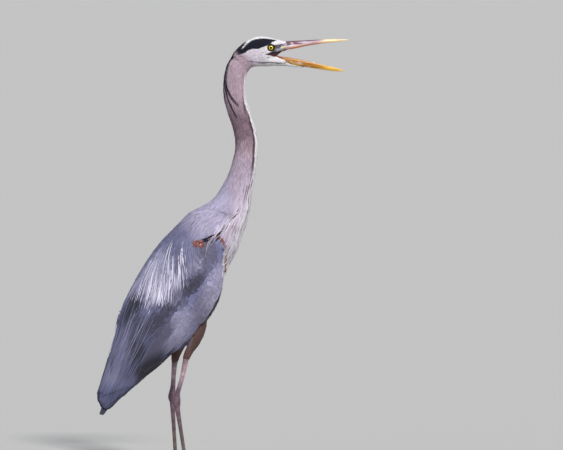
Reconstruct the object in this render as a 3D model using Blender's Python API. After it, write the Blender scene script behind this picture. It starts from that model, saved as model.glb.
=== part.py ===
"""A great blue heron as a still, life-size museum model, standing on its own feet with its bill open.

+X is the way the bird faces, +Y is its left side and +Z is up. The origin is on the floor under the middle of
the bird. Every solid is one named piece of the body, and its outer face is where the plumage ends.
"""

import math

import bmesh
import bpy
from mathutils import Matrix, Vector
from mathutils.bvhtree import BVHTree

# ---------------------------------------------------------------- driving dimensions, metres and degrees
SEAM = 0.0004  # air between pieces that meet
RING = 18  # corners round a body section
STEPS = 2  # sections made between two stations of the body
LEFT, RIGHT = 1, -1

# Stations down the body: x, z of the middle, half depth from back to front, half width, and how far the
# section leans from level. The neck starts inside the head, and the last stations are the tail's end.
NECK = [
    (0.055, 0.974, 0.0250, 0.0190, 45),
    (0.039, 0.955, 0.0245, 0.0195, 28),
    (0.032, 0.939, 0.0245, 0.0195, 13),
    (0.028, 0.910, 0.0245, 0.0195, 2),
    (0.030, 0.880, 0.0251, 0.0195, -10),
    (0.039, 0.848, 0.0251, 0.0195, -17),
    (0.048, 0.821, 0.0245, 0.0195, -16),
    (0.055, 0.791, 0.0254, 0.0205, -8),
    (0.056, 0.761, 0.0256, 0.0220, 3),
    (0.052, 0.734, 0.0277, 0.0245, 10),
    (0.046, 0.705, 0.0296, 0.0275, 15),
    (0.034, 0.670, 0.0345, 0.0320, 17),
]
BODY = [
    (0.019, 0.632, 0.0453, 0.0400, 15),
    (-0.009, 0.608, 0.0633, 0.0500, 14),
    (-0.034, 0.564, 0.0746, 0.0620, 18),
    (-0.063, 0.521, 0.0837, 0.0690, 20),
    (-0.084, 0.474, 0.0950, 0.0720, 19),
    (-0.109, 0.425, 0.0984, 0.0715, 18),
    (-0.140, 0.375, 0.0923, 0.0660, 18),
    (-0.165, 0.337, 0.0797, 0.0560, 17),
    (-0.192, 0.294, 0.0653, 0.0450, 12),
    (-0.219, 0.253, 0.0506, 0.0370, 8),
    (-0.244, 0.217, 0.0368, 0.0320, 7),
    (-0.263, 0.189, 0.0258, 0.0285, 5),
    (-0.2725, 0.164, 0.0125, 0.0220, 2),
]
SPINE = NECK + BODY
CHEST = len(NECK)  # number of the first station of BODY, at the foot of the neck
NECK_CUTS = (4.5, 8.5)  # stations where the neck is parted
SHOULDER, WRIST, RUMP = CHEST + 1, CHEST + 1.5, CHEST + 7.7
WING_CUT, WING_TIP = CHEST + 7.5, CHEST + 11.7

PLUME_THICK = 0.0045  # the cape of back plumes over the wings
WING_THICK = 0.0090
SHELL_GAP = 0.0010  # air between one shell of plumage and the next

# Head: x, z of the middle, half height, half width.
HEAD = [
    (0.0215, 0.9660, 0.0060, 0.0050),
    (0.0260, 0.9692, 0.0135, 0.0115),
    (0.0340, 0.9722, 0.0198, 0.0165),
    (0.0450, 0.9765, 0.0258, 0.0195),
    (0.0580, 0.9812, 0.0303, 0.0208),
    (0.0720, 0.9852, 0.0335, 0.0210),
    (0.0860, 0.9872, 0.0342, 0.0205),
    (0.0980, 0.9868, 0.0338, 0.0195),
    (0.1100, 0.9858, 0.0323, 0.0180),
    (0.1220, 0.9845, 0.0305, 0.0158),
    (0.1340, 0.9832, 0.0290, 0.0134),
    (0.1460, 0.9822, 0.0276, 0.0114),
]
GAPE = (0.1050, 0.9811)  # corner of the mouth
MOUTH_ROOF = (0.1520, 0.9900)
JAW = [
    (0.1054, 0.9668, 0.0137, 0.0155),
    (0.1180, 0.9662, 0.0118, 0.0142),
    (0.1300, 0.9645, 0.0106, 0.0126),
    (0.1430, 0.9612, 0.0072, 0.0102),
    (0.1560, 0.9568, 0.0042, 0.0076),
    (0.1720, 0.9538, 0.0028, 0.0052),
    (0.1892, 0.9514, 0.0012, 0.0026),
]
UPPER_BILL = [
    (0.1464, 0.9998, 0.0103, 0.0112),
    (0.1664, 1.0031, 0.0075, 0.0098),
    (0.1892, 1.0059, 0.0058, 0.0083),
    (0.2120, 1.0082, 0.0049, 0.0068),
    (0.2348, 1.0102, 0.0040, 0.0052),
    (0.2576, 1.0116, 0.0031, 0.0036),
    (0.2759, 1.0125, 0.0020, 0.0021),
    (0.2889, 1.0132, 0.0006, 0.0006),
]
LOWER_BILL = [
    (0.1180, 0.9705, 0.0076, 0.0088),
    (0.1482, 0.9665, 0.0078, 0.0087),
    (0.1664, 0.9633, 0.0080, 0.0079),
    (0.1892, 0.9591, 0.0073, 0.0067),
    (0.2120, 0.9547, 0.0068, 0.0054),
    (0.2348, 0.9503, 0.0059, 0.0042),
    (0.2576, 0.9464, 0.0044, 0.0029),
    (0.2710, 0.9440, 0.0024, 0.0017),
    (0.2782, 0.9426, 0.0006, 0.0006),
]
TROUGH_DEEP = 0.0034  # groove down the lower bill, where the tongue lies
TONGUE_LONG = 0.085
EYE = (0.1117, 0.0122, 0.9964)  # centre of the left eyeball
EYE_RADIUS = 0.0078

# Legs: x, y of the right-hand side as a distance from the middle, z, radius fore and aft, radius across.
THIGHS = {
    RIGHT: [
        (-0.0540, 0.0290, 0.3880, 0.0210, 0.0180),
        (-0.0530, 0.0295, 0.3600, 0.0180, 0.0165),
        (-0.0568, 0.0300, 0.3380, 0.0150, 0.0142),
        (-0.0660, 0.0310, 0.3170, 0.0127, 0.0120),
        (-0.0769, 0.0320, 0.3010, 0.0100, 0.0096),
        (-0.0828, 0.0328, 0.2835, 0.0077, 0.0075),
    ],
    LEFT: [
        (-0.0620, 0.0290, 0.3900, 0.0280, 0.0200),
        (-0.0780, 0.0295, 0.3550, 0.0215, 0.0175),
        (-0.0895, 0.0300, 0.3280, 0.0165, 0.0150),
        (-0.1000, 0.0310, 0.3040, 0.0122, 0.0118),
        (-0.1068, 0.0320, 0.2850, 0.0095, 0.0092),
        (-0.1095, 0.0328, 0.2700, 0.0077, 0.0075),
    ],
}
ANKLES = {RIGHT: (-0.1026, 0.0360, 0.1880), LEFT: (-0.1148, 0.0360, 0.1930)}
FEET = {RIGHT: (-0.0760, 0.0450, 0.0090), LEFT: (-0.1050, 0.0450, 0.0090)}
SHANK_RADIUS, ANKLE_RADIUS, TARSUS_RADIUS = 0.0054, 0.0086, 0.0044
TOE_RADIUS = 0.0046
# Toes: name, turn away from the middle line, length of the toe, length of the claw.
TOES = [
    ("middle", 2, 0.088, 0.015),
    ("inner", -34, 0.068, 0.013),
    ("outer", 36, 0.074, 0.012),
    ("hind", 176, 0.054, 0.019),
]

# Crest plumes: station on the neck and how far round it from the side towards the back, along each plume.
CREST_WIDE, CREST_THICK = 0.0024, 0.0007  # half sizes
CREST_PLUMES = {
    "crest_plume_long": [(1.15, 66), (2, 66), (3, 60), (4, 42), (5, 29), (5.65, 17)],
    "crest_plume_short": [(1.9, 50), (3, 46), (3.9, 19), (4.6, -10)],
}

# ---------------------------------------------------------------- materials: colour, roughness
FINISHES = {
    "face_plumage": ((0.86, 0.86, 0.87), 0.8),
    "neck_plumage": ((0.42, 0.38, 0.41), 0.85),
    "body_plumage": ((0.19, 0.20, 0.26), 0.85),
    "back_plumes": ((0.33, 0.34, 0.42), 0.8),
    "wing_plumage": ((0.17, 0.18, 0.23), 0.8),
    "flight_feathers": ((0.055, 0.06, 0.09), 0.7),
    "breast_plumes": ((0.72, 0.71, 0.75), 0.8),
    "crest": ((0.015, 0.017, 0.03), 0.6),
    "thigh_plumage": ((0.36, 0.22, 0.19), 0.85),
    "upper_horn": ((0.55, 0.38, 0.30), 0.35),
    "lower_horn": ((0.80, 0.42, 0.06), 0.35),
    "tongue": ((0.62, 0.30, 0.25), 0.4),
    "eye": ((0.75, 0.62, 0.02), 0.08),
    "leg_skin": ((0.24, 0.19, 0.19), 0.6),
    "claw": ((0.03, 0.028, 0.027), 0.4),
}


# ---------------------------------------------------------------- helpers
def clear_scene():
    for obj in list(bpy.data.objects):
        bpy.data.objects.remove(obj)


def finish_of(name):
    """The named material, made once."""
    if name in bpy.data.materials:
        return bpy.data.materials[name]
    colour, roughness = FINISHES[name]
    material = bpy.data.materials.new(name)
    material.use_nodes = True
    shader = material.node_tree.nodes["Principled BSDF"]
    shader.inputs["Base Color"].default_value = (*colour, 1)
    shader.inputs["Roughness"].default_value = roughness
    shader.inputs["Metallic"].default_value = 0.0
    return material


def piece(name, bm, finish):
    """Makes the bmesh a named object with its material, faces out and shaded smooth."""
    bmesh.ops.recalc_face_normals(bm, faces=bm.faces)
    mesh = bpy.data.meshes.new(name)
    bm.to_mesh(mesh)
    bm.free()
    mesh.shade_smooth()
    mesh.set_sharp_from_angle(angle=math.radians(40))
    mesh.materials.append(finish_of(finish))
    obj = bpy.data.objects.new(name, mesh)
    bpy.context.scene.collection.objects.link(obj)
    return obj


def between(stations, at):
    """The station at a fractional place in the list, on a smooth curve through all of them."""
    last = len(stations) - 1
    at = min(max(at, 0), last)
    i = min(int(at), last - 1)
    t = at - i
    a, b, c, d = (stations[min(max(k, 0), last)] for k in (i - 1, i, i + 1, i + 2))
    return tuple(
        0.5 * (2 * q + (r - p) * t + (2 * p - 5 * q + 4 * r - s) * t**2 + (3 * q - p - 3 * r + s) * t**3)
        for p, q, r, s in zip(a, b, c, d)
    )


def ramp(x, low, high):
    """0 below low, 1 above high and smooth between them."""
    t = min(max((x - low) / (high - low), 0), 1)
    return t * t * (3 - 2 * t)


def rounded(angle, power):
    """Cosine and sine of an angle in degrees, squared off by a power over 2."""
    c, s = math.cos(math.radians(angle)), math.sin(math.radians(angle))
    return (
        math.copysign(abs(c) ** (2 / power), c),
        math.copysign(abs(s) ** (2 / power), s),
    )


def spread(low, high, count):
    return [low + (high - low) * i / (count - 1) for i in range(count)]


def loft(bm, rings):
    """Joins closed rings of points into a tube with filled ends."""
    loops = [[bm.verts.new(p) for p in ring] for ring in rings]
    for near, far in zip(loops, loops[1:]):
        for i in range(len(near)):
            j = (i + 1) % len(near)
            bm.faces.new((near[i], near[j], far[j], far[i]))
    bm.faces.new(loops[0])
    bm.faces.new(reversed(loops[-1]))
    return bm


def shell(name, finish, stations, inner, outer, around=9):
    """A curved plate: inner(at, share) and outer(at, share) give its two faces, where share runs 0 to 1 across it."""
    shares = spread(0, 1, around)
    rings = [
        [outer(at, share) for share in shares] + [inner(at, share) for share in reversed(shares)]
        for at in stations
    ]
    return piece(name, loft(bmesh.new(), rings), finish)


def section(at, angle, depth_cut=0.0, width_cut=0.0, front_cut=None, side=LEFT, power=2.15, front_power=None):
    """A point on the body's section at a station. Angle 0 is the side, 90 the back and -90 the front; the cuts
    move the section's faces inwards."""
    x, z, depth, width, lean = between(SPINE, at)
    across, along = rounded(angle, power if angle > 0 or front_power is None else front_power)
    cut = depth_cut if along > 0 or front_cut is None else front_cut
    reach = along * (depth - cut)
    lean = math.radians(lean)
    return Vector(
        (
            x - reach * math.cos(lean),
            side * across * (width - width_cut),
            z + reach * math.sin(lean),
        )
    )


def duplicate_inflated(obj, by):
    """A hidden copy of a piece, grown by this much, to cut its neighbour with."""
    bm = bmesh.new()
    bm.from_mesh(obj.data)
    bmesh.ops.remove_doubles(bm, verts=bm.verts, dist=1e-6)
    bm.normal_update()
    moves = [v.normal * by * min(v.calc_shell_factor(), 1.6) for v in bm.verts]
    for v, move in zip(bm.verts, moves):
        v.co += move
    mesh = bpy.data.meshes.new(obj.name + "_cutter")
    bm.to_mesh(mesh)
    bm.free()
    return helper(mesh)


def helper(mesh):
    """A hidden object for a Boolean to use."""
    obj = bpy.data.objects.new(mesh.name, mesh)
    obj.hide_render = True
    obj.display_type = "WIRE"
    bpy.context.scene.collection.objects.link(obj)
    return obj


def cut(obj, other, merge=False):
    """Cuts one piece with another and keeps the largest body of what is left. With merge, the piece's own
    overlapping parts become one."""
    modifier = obj.modifiers.new("cut", "BOOLEAN")
    modifier.operation, modifier.object, modifier.solver = "DIFFERENCE", other, "EXACT"
    modifier.use_self = merge
    bpy.context.view_layer.update()
    graph = bpy.context.evaluated_depsgraph_get()
    mesh = bpy.data.meshes.new_from_object(obj.evaluated_get(graph))
    obj.modifiers.remove(modifier)
    bpy.data.objects.remove(other)
    bm = bmesh.new()
    bm.from_mesh(mesh)
    bmesh.ops.triangulate(bm, faces=bm.faces)
    keep_largest(bm)
    bm.to_mesh(mesh)
    bm.free()
    obj.data = mesh
    return obj


def keep_largest(bm):
    """Deletes all but the largest connected body, by its number of faces."""
    left, bodies = set(bm.faces), []
    while left:
        body, edge_of_it = set(), [next(iter(left))]
        while edge_of_it:
            face = edge_of_it.pop()
            if face in body:
                continue
            body.add(face)
            edge_of_it += [f for e in face.edges for f in e.link_faces if f not in body]
        bodies.append(body)
        left -= body
    bodies.sort(key=len, reverse=True)
    for body in bodies[1:]:
        bmesh.ops.delete(bm, geom=list(body), context="FACES")
    loose = [v for v in bm.verts if not v.link_faces]
    bmesh.ops.delete(bm, geom=loose, context="VERTS")


def fit_to(obj, *neighbours):
    """Cuts a piece back where its neighbours are, with a seam of air between them."""
    for other in neighbours:
        cut(obj, duplicate_inflated(other, SEAM))
    return obj


def prism(name, outline, half_width):
    """A hidden block with this outline in x and z, either side of the middle line."""
    bm = bmesh.new()
    face = bm.faces.new([bm.verts.new((x, -half_width, z)) for x, z in outline])
    moved = bmesh.ops.extrude_face_region(bm, geom=[face])
    verts = [v for v in moved["geom"] if isinstance(v, bmesh.types.BMVert)]
    bmesh.ops.translate(bm, verts=verts, vec=(0, 2 * half_width, 0))
    bmesh.ops.recalc_face_normals(bm, faces=bm.faces)
    mesh = bpy.data.meshes.new(name)
    bm.to_mesh(mesh)
    bm.free()
    return helper(mesh)


# ---------------------------------------------------------------- neck and trunk
def make_neck():
    """The neck in three lengths, from inside the head to the shoulders."""
    ends = [0, *NECK_CUTS, CHEST + 0.5]
    pieces = []
    for name, start, stop in zip(("neck_upper", "neck_middle", "neck_lower"), ends, ends[1:]):
        gap = 0.016 if start else 0  # about 0.4 mm of the way to the next station
        count = round((stop - start) * STEPS) + 1
        rings = [
            [section(at, 360 * i / RING) for i in range(RING)]
            for at in spread(start + gap, stop, count)
        ]
        pieces.append(piece(name, loft(bmesh.new(), rings), "neck_plumage"))
    return pieces


def trunk_cuts(at):
    """How far the trunk lies inside the folded wings: at the back, at the front and at the side."""
    under = ramp(at, CHEST + 0.5, CHEST + 2.3)
    cape = PLUME_THICK + 2.3 * SHELL_GAP
    belly = ramp(at, CHEST + 6, CHEST + 8.5)
    plumes = ramp(at, CHEST + 0.5, CHEST + 1.5) * (1 - ramp(at, CHEST + 3, CHEST + 5))
    return cape + 0.0070 * under, 0.0070 * plumes + 0.0020 + 0.0240 * belly, cape + 0.0062 * under


def trunk_point(at, angle, lift=0.0, side=LEFT):
    back, front, flank = trunk_cuts(at)
    bare = wing_angles(at)[0]  # forward of the wing's edge the trunk comes out to the bird's outline
    signed = math.degrees(math.asin(math.sin(math.radians(angle))))
    flank = 0.0015 + (flank - 0.0015) * ramp(signed, bare - 44, bare - 16)
    end = ramp(at, RUMP - 1.5, RUMP + 0.3)
    shrink = 0.55 * end * between(SPINE, at)[3]
    return section(
        at,
        angle,
        depth_cut=back + shrink - lift,
        front_cut=front + shrink - lift,
        width_cut=flank + shrink - lift,
        side=side,
    )


def make_trunk():
    start = CHEST + 0.5 + 0.012
    stations = [start, *spread(CHEST + 1, RUMP, 14)]
    rings = [[trunk_point(at, 360 * i / RING) for i in range(RING)] for at in stations]
    return piece("trunk", loft(bmesh.new(), rings), "body_plumage")


def make_breast_plumes():
    """The long plumes that hang from the foot of the neck over the breast."""
    start, stop = CHEST + 0.56, CHEST + 3.4

    def half_angle(at):
        return 58 - 44 * ramp(at, CHEST + 1, stop)

    def thick(at, share):
        rim = math.sin(math.pi * share) ** 0.5 if 0 < share < 1 else 0
        body = ramp(at, start - 0.5, CHEST + 1.4) * (1 - 0.75 * ramp(at, CHEST + 2.4, stop))
        return 0.0006 + 0.0060 * rim * body

    def face(at, share, lift):
        angle = -90 + half_angle(at) * (2 * share - 1)
        side = LEFT if angle >= -90 else RIGHT
        angle = angle if angle >= -90 else -180 - angle
        return trunk_point(at, angle, lift, side)

    return shell(
        "breast_plumes",
        "breast_plumes",
        spread(start, stop, 8),
        lambda at, share: face(at, share, 1.7 * SHELL_GAP),
        lambda at, share: face(at, share, 1.7 * SHELL_GAP + thick(at, share)),
    )


# ---------------------------------------------------------------- back plumes, wings and tail
def cape_edge(at):
    """How low the cape of back plumes comes on the side, as an angle."""
    return 12 + 22 * ramp(at, CHEST + 3, CHEST + 5.5) + 34 * ramp(at, CHEST + 5, CHEST + 7.5)


def make_mantle():
    """The cape of long plumes from the shoulders over the back and the tops of both wings."""
    start, stop = CHEST + 0.6, CHEST + 7.6

    def face(at, share, cut):
        low = cape_edge(at)
        angle = low + (180 - 2 * low) * share
        side = LEFT if angle <= 90 else RIGHT
        return section(at, min(angle, 180 - angle), cut, cut, side=side)

    def thick(at, share):
        rim = min(share, 1 - share) * 5
        ends = ramp(at, start - 0.1, CHEST + 1.6) * (1 - 0.8 * ramp(at, CHEST + 6, stop))
        return 0.0008 + (PLUME_THICK - 0.0008) * min(rim, 1) * ends

    return shell(
        "mantle",
        "back_plumes",
        spread(start, stop, 13),
        lambda at, share: face(at, share, PLUME_THICK),
        lambda at, share: face(at, share, PLUME_THICK - thick(at, share)),
        around=13,
    )


def wing_angles(at):
    """The lower and upper edge of the folded wing, as angles round the body."""
    lower = -8 - 58 * ramp(at, WRIST - 0.3, CHEST + 4) + 10 * ramp(at, CHEST + 9.5, WING_TIP)
    upper = 30 + 52 * ramp(at, WRIST, CHEST + 4) - 84 * ramp(at, CHEST + 10.4, WING_TIP + 0.3)
    return lower, upper


def wing_point(at, share, side, inside):
    """A point on the outer or inner face of the folded wing, from its lower edge to its upper one."""
    lower, upper = wing_angles(at)
    angle = lower + (upper - lower) * share
    tucked = ramp(angle, cape_edge(at) - 20, cape_edge(at) - 8) * (1 - ramp(at, CHEST + 7.7, CHEST + 8.4))
    outer = (PLUME_THICK + SHELL_GAP) * tucked
    rim = 0.6 + 0.4 * ramp(share, 0, 0.25) - 0.85 * ramp(share, 0.6, 1)
    arm = (0.5 + 0.5 * ramp(at, WRIST - 0.35, WRIST + 0.7)) * (1 - 0.62 * ramp(at, CHEST + 6, WING_TIP))
    thick = 0.0010 + (WING_THICK - 0.0010) * rim * arm * (1 - 0.45 * tucked)
    cut = outer + (thick if inside else 0)
    return section(at, angle, cut, cut, side=side, front_power=3.6)


def make_wing(side, name):
    """The folded wing, parted where the long outer quills leave the coverts."""
    pieces = []
    for title, finish, start, stop, count in (
        ("wing_", "wing_plumage", WRIST - 0.35, WING_CUT, 13),
        ("primaries_", "flight_feathers", WING_CUT + 0.01, WING_TIP, 8),
    ):
        pieces.append(
            shell(
                title + name,
                finish,
                spread(start, stop, count),
                lambda at, share: wing_point(at, share, side, True),
                lambda at, share: wing_point(at, share, side, False),
                around=11,
            )
        )
    return pieces


def make_undertail():
    """The soft feathers under the root of the tail, between the wings."""
    start, stop = RUMP + 0.012, RUMP + 2.9
    rings = []
    for at in spread(start, stop, 6):
        x, z, depth, width, lean = between(SPINE, at)
        low = -(0.70 - 0.24 * ramp(at, start, stop)) * depth
        high = -0.012 + 0.003 * ramp(at, start, stop)
        half = (width - 0.016) * (1 - 0.45 * ramp(at, start, stop))
        lean = math.radians(lean)
        ring = []
        for i in range(12):
            across, along = rounded(360 * i / 12, 2.3)
            reach = (high + low) / 2 + along * (high - low) / 2
            ring.append(Vector((x - reach * math.cos(lean), half * across, z + reach * math.sin(lean))))
        rings.append(ring)
    return piece("undertail", loft(bmesh.new(), rings), "breast_plumes")


def make_tail():
    """The closed tail, a shallow arch of twelve quills that reaches past the wing tips."""
    start, stop = RUMP + 0.012, len(SPINE) - 1

    def face(at, share, below):
        x, z, depth, width, lean = between(SPINE, at)
        across = 2 * share - 1
        half = min(0.013 + 0.0095 * ramp(at, start, start + 2.5), width - 0.0085)
        thick = (0.0036 - 0.0020 * ramp(at, start, stop)) * (1 - 0.6 * across**2)
        drop = 0.10 * depth - min(0.0100, 0.4 * depth) * across**2 - (thick if below else 0)
        lean = math.radians(lean)
        return Vector((x - drop * math.cos(lean), half * across, z + drop * math.sin(lean)))

    return shell(
        "tail",
        "flight_feathers",
        spread(start, stop, 8),
        lambda at, share: face(at, share, True),
        lambda at, share: face(at, share, False),
    )


# ---------------------------------------------------------------- head and bill
def upright_ring(x, z, high, wide, count, top_power=2.1, low_power=2.1):
    """A ring across the bird at one x."""
    ring = []
    for i in range(count):
        angle = 360 * i / count
        across, up = rounded(angle, top_power if angle <= 180 else low_power)
        ring.append(Vector((x, wide * across, z + high * up)))
    return ring


def upright_loft(name, finish, stations, count, steps, **powers):
    last = len(stations) - 1
    rings = [
        upright_ring(*between(stations, at), count, **powers)
        for at in spread(0, last, last * steps + 1)
    ]
    return piece(name, loft(bmesh.new(), rings), finish)


def make_head():
    """The head down to the corner of the mouth, with the mouth's roof cut clear of the lower jaw."""
    head = upright_loft("head", "face_plumage", HEAD, RING, 1)
    mouth = [GAPE, MOUTH_ROOF, (0.16, MOUTH_ROOF[1]), (0.16, 0.93), (GAPE[0], 0.93)]
    cut(head, prism("mouth_cutter", mouth, 0.05))
    return head


def make_eye(side, name):
    bm = bmesh.new()
    x, y, z = EYE
    place = Matrix.Translation((x, side * y, z)) @ Matrix.Rotation(math.radians(90), 4, "X")
    bmesh.ops.create_uvsphere(bm, u_segments=12, v_segments=8, radius=EYE_RADIUS, matrix=place)
    return piece("eye_" + name, bm, "eye")


def make_bill():
    """Both halves of the bill, the feathered jaw round the lower one's root, and the tongue in its trough."""
    upright_loft("bill_upper", "upper_horn", UPPER_BILL, 12, 1, top_power=1.9, low_power=3.4)
    lower = upright_loft("bill_lower", "lower_horn", LOWER_BILL, 12, 1, top_power=3.4, low_power=1.9)
    fit_to(upright_loft("jaw", "face_plumage", JAW, 12, 1), lower)
    trough = [
        (x, z + high + TROUGH_DEEP * 0.4, TROUGH_DEEP * 1.4 * min(1, high / 0.006), wide * 0.6)
        for x, z, high, wide in LOWER_BILL[:-2]
    ]
    trough[0] = (LOWER_BILL[0][0] - 0.01, trough[0][1] + 0.001, trough[0][2], trough[0][3])
    cutter = upright_loft("trough_cutter", "tongue", trough, 10, 1, low_power=3)
    cut(lower, cutter)
    tongue = [
        (x, z + high - TROUGH_DEEP + 0.0022, 0.0009, wide * 0.40)
        for x, z, high, wide in (between(LOWER_BILL, at) for at in (0.35, 1.0, 1.8, 2.6, 3.4, 4.0))
    ]
    tongue[-1] = (*tongue[-1][:2], 0.0005, 0.0008)
    upright_loft("tongue", "tongue", tongue, 8, 1)


# ---------------------------------------------------------------- crest plumes
def make_crest_plume(name, route):
    """A narrow black plume lying along the right side of the neck."""
    count = 3 * len(route)
    middles = []
    for i in range(count):
        at, angle = between(route, i / (count - 1) * (len(route) - 1))
        lift = -(SEAM + CREST_THICK * 1.6)
        here = section(at, angle, lift, lift, side=RIGHT)
        out = (here - section(at, angle, 0.01, 0.01, side=RIGHT)).normalized()
        middles.append((here, out))
    rings = []
    for i, (here, out) in enumerate(middles):
        way = middles[min(i + 1, count - 1)][0] - middles[max(i - 1, 0)][0]
        across = out.cross(way).normalized()
        taper = min(1, 0.35 + 3 * i / count) * (1 - 0.8 * ramp(i, 0.6 * count, count - 1))
        wide, thick = CREST_WIDE * taper, CREST_THICK * (0.5 + 0.5 * taper)
        rings.append([here + across * wide, here + out * thick, here - across * wide, here - out * thick])
    return piece(name, loft(bmesh.new(), rings), "crest")


# ---------------------------------------------------------------- legs
def leg_loft(name, finish, stations, side, count, steps):
    """A tube down the leg. Its sections are level, and its stations are x, y, z, radius fore and aft, and across."""
    last = len(stations) - 1
    rings = []
    for at in spread(0, last, last * steps + 1):
        x, y, z, fore, across = between(stations, at)
        rings.append(
            [
                Vector((x + fore * math.cos(a), side * y + across * math.sin(a), z))
                for a in (2 * math.pi * i / count for i in range(count))
            ]
        )
    return piece(name, loft(bmesh.new(), rings), finish)


def make_leg(side, name):
    """The feathered thigh, the bare shank with its ankle, and the tarsus."""
    thigh = leg_loft("thigh_" + name, "thigh_plumage", THIGHS[side], side, 14, 1)
    tx, ty, tz = THIGHS[side][-1][:3]
    ax, ay, az = ANKLES[side]
    fx, fy, fz = FEET[side]
    slope = (ax - tx) / (az - tz)
    top = tz - SEAM
    r, k = SHANK_RADIUS, ANKLE_RADIUS
    shank = [
        (tx, ty, top, 1.2 * r, 1.15 * r),
        (tx + 0.4 * slope * (az - top), ty, top + 0.4 * (az - top), r, 0.95 * r),
        (ax + 0.0015, ay, az + 0.022, 1.08 * r, r),
        (ax, ay, az + 0.008, 0.92 * k, 0.88 * k),
        (ax - 0.0008, ay, az - 0.002, k, 0.92 * k),
        (ax, ay, az - 0.010, 0.84 * k, 0.80 * k),
    ]
    leg_loft("shank_" + name, "leg_skin", shank, side, 10, 2)
    t = TARSUS_RADIUS
    start = az - 0.010 - SEAM
    tarsus = [(ax, ay, start, 1.55 * t, 1.4 * t)]
    for share, wide in ((0.12, 1.2), (0.35, 1.0), (0.65, 0.97), (0.88, 1.1), (1.0, 1.3)):
        tarsus.append(
            (ax + (fx - ax) * share, ay + (fy - ay) * share, start + (fz - start) * share, wide * t, 0.92 * wide * t)
        )
    leg_loft("tarsus_" + name, "leg_skin", tarsus, side, 10, 1)
    return thigh


def toe_rings(foot, turn, side, length, count):
    """Rings along a toe, with a swelling at each joint."""
    away = math.radians(turn) * -side if abs(turn) < 90 else math.radians(180 - (180 - turn) * side)
    along = Vector((math.cos(away), -math.sin(away), 0))
    across = Vector((-along.y, along.x, 0))
    rings = []
    for i in range(count):
        share = i / (count - 1)
        joint = 0.88 + 0.14 * math.cos(share * 2 * 2 * math.pi)
        radius = TOE_RADIUS * (1.12 - 0.42 * share) * joint
        middle = foot + along * length * share
        middle.z = 0.0042 - 0.0014 * share
        rings.append(
            [
                middle + across * radius * math.cos(a) + Vector((0, 0, radius * math.sin(a)))
                for a in (2 * math.pi * k / 7 for k in range(7))
            ]
        )
    return rings, along, across


def make_foot(side, name):
    """The four toes joined at the ball of the foot and cut flat underneath, with a claw on each."""
    fx, fy, fz = FEET[side]
    foot = Vector((fx, side * fy, 0))
    bm = bmesh.new()
    ball = Matrix.Translation((fx, side * fy, 0.0047)) @ Matrix.Diagonal((1.25, 1.05, 0.85, 1))
    bmesh.ops.create_uvsphere(bm, u_segments=10, v_segments=6, radius=0.0062, matrix=ball)
    for toe, turn, length, claw in TOES:
        rings, along, across = toe_rings(foot, turn, side, length, 7)
        loft(bm, rings)
        make_claw(f"claw_{name}_{toe}", foot + along * (length + SEAM), along, across, claw)
    below = [(-1, -0.05), (1, -0.05), (1, 0), (-1, 0)]
    return cut(piece("foot_" + name, bm, "leg_skin"), prism("floor_cutter", below, 1), merge=True)


def make_claw(name, start, along, across, length):
    """A curved claw whose point comes down to just above the floor."""
    rings = []
    for i in range(5):
        share = i / 4
        radius = 0.0021 * (1 - share) ** 0.75 + 0.0003
        middle = start + along * length * share
        middle.z = 0.0029 + 0.0014 * math.sin(math.pi * min(share * 1.15, 1)) - 0.0021 * share**2
        rings.append(
            [
                middle + across * radius * math.cos(a) + Vector((0, 0, radius * math.sin(a)))
                for a in (2 * math.pi * k / 6 for k in range(6))
            ]
        )
    piece(name, loft(bmesh.new(), rings), "claw")


# ---------------------------------------------------------------- the bird
def main():
    clear_scene()
    neck_upper, neck_middle, neck_lower = make_neck()
    trunk = make_trunk()
    make_breast_plumes()
    make_mantle()
    make_tail()
    make_undertail()
    head = make_head()
    make_bill()
    fit_to(neck_upper, head)
    for side, name in ((LEFT, "left"), (RIGHT, "right")):
        wing, primaries = make_wing(side, name)
        fit_to(head, make_eye(side, name))
        fit_to(make_leg(side, name), trunk, wing, primaries)
        foot = make_foot(side, name)
        fit_to(bpy.data.objects["tarsus_" + name], foot)
    for name, route in CREST_PLUMES.items():
        fit_to(make_crest_plume(name, route), head)


main()
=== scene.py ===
"""Dresses the great blue heron: skin, plumage, bill, eyes, legs, floor, light and camera.

Everything is in metres. The bird faces +X, its left side is +Y and up is +Z. The body is measured along
a spine of numbered stations, from the head to the tip of the tail, and round that spine by an angle:
90 is the back, 0 the side and -90 the front or belly.
"""

import math

import bmesh
import bpy
import numpy as np
from mathutils import Matrix, Vector
from mathutils.bvhtree import BVHTree


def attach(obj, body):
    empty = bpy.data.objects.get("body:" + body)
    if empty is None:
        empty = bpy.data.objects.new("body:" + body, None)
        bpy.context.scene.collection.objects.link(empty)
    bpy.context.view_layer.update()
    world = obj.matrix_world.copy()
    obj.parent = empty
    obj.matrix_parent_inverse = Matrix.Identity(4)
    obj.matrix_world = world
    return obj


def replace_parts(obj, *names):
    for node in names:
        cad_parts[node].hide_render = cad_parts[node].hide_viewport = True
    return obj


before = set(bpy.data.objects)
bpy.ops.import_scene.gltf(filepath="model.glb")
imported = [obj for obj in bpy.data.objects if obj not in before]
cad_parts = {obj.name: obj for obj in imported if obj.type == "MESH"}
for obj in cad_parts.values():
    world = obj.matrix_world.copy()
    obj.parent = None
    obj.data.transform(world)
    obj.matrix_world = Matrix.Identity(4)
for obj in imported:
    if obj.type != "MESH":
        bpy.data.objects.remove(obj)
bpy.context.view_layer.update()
rng = np.random.default_rng(11)

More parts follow.
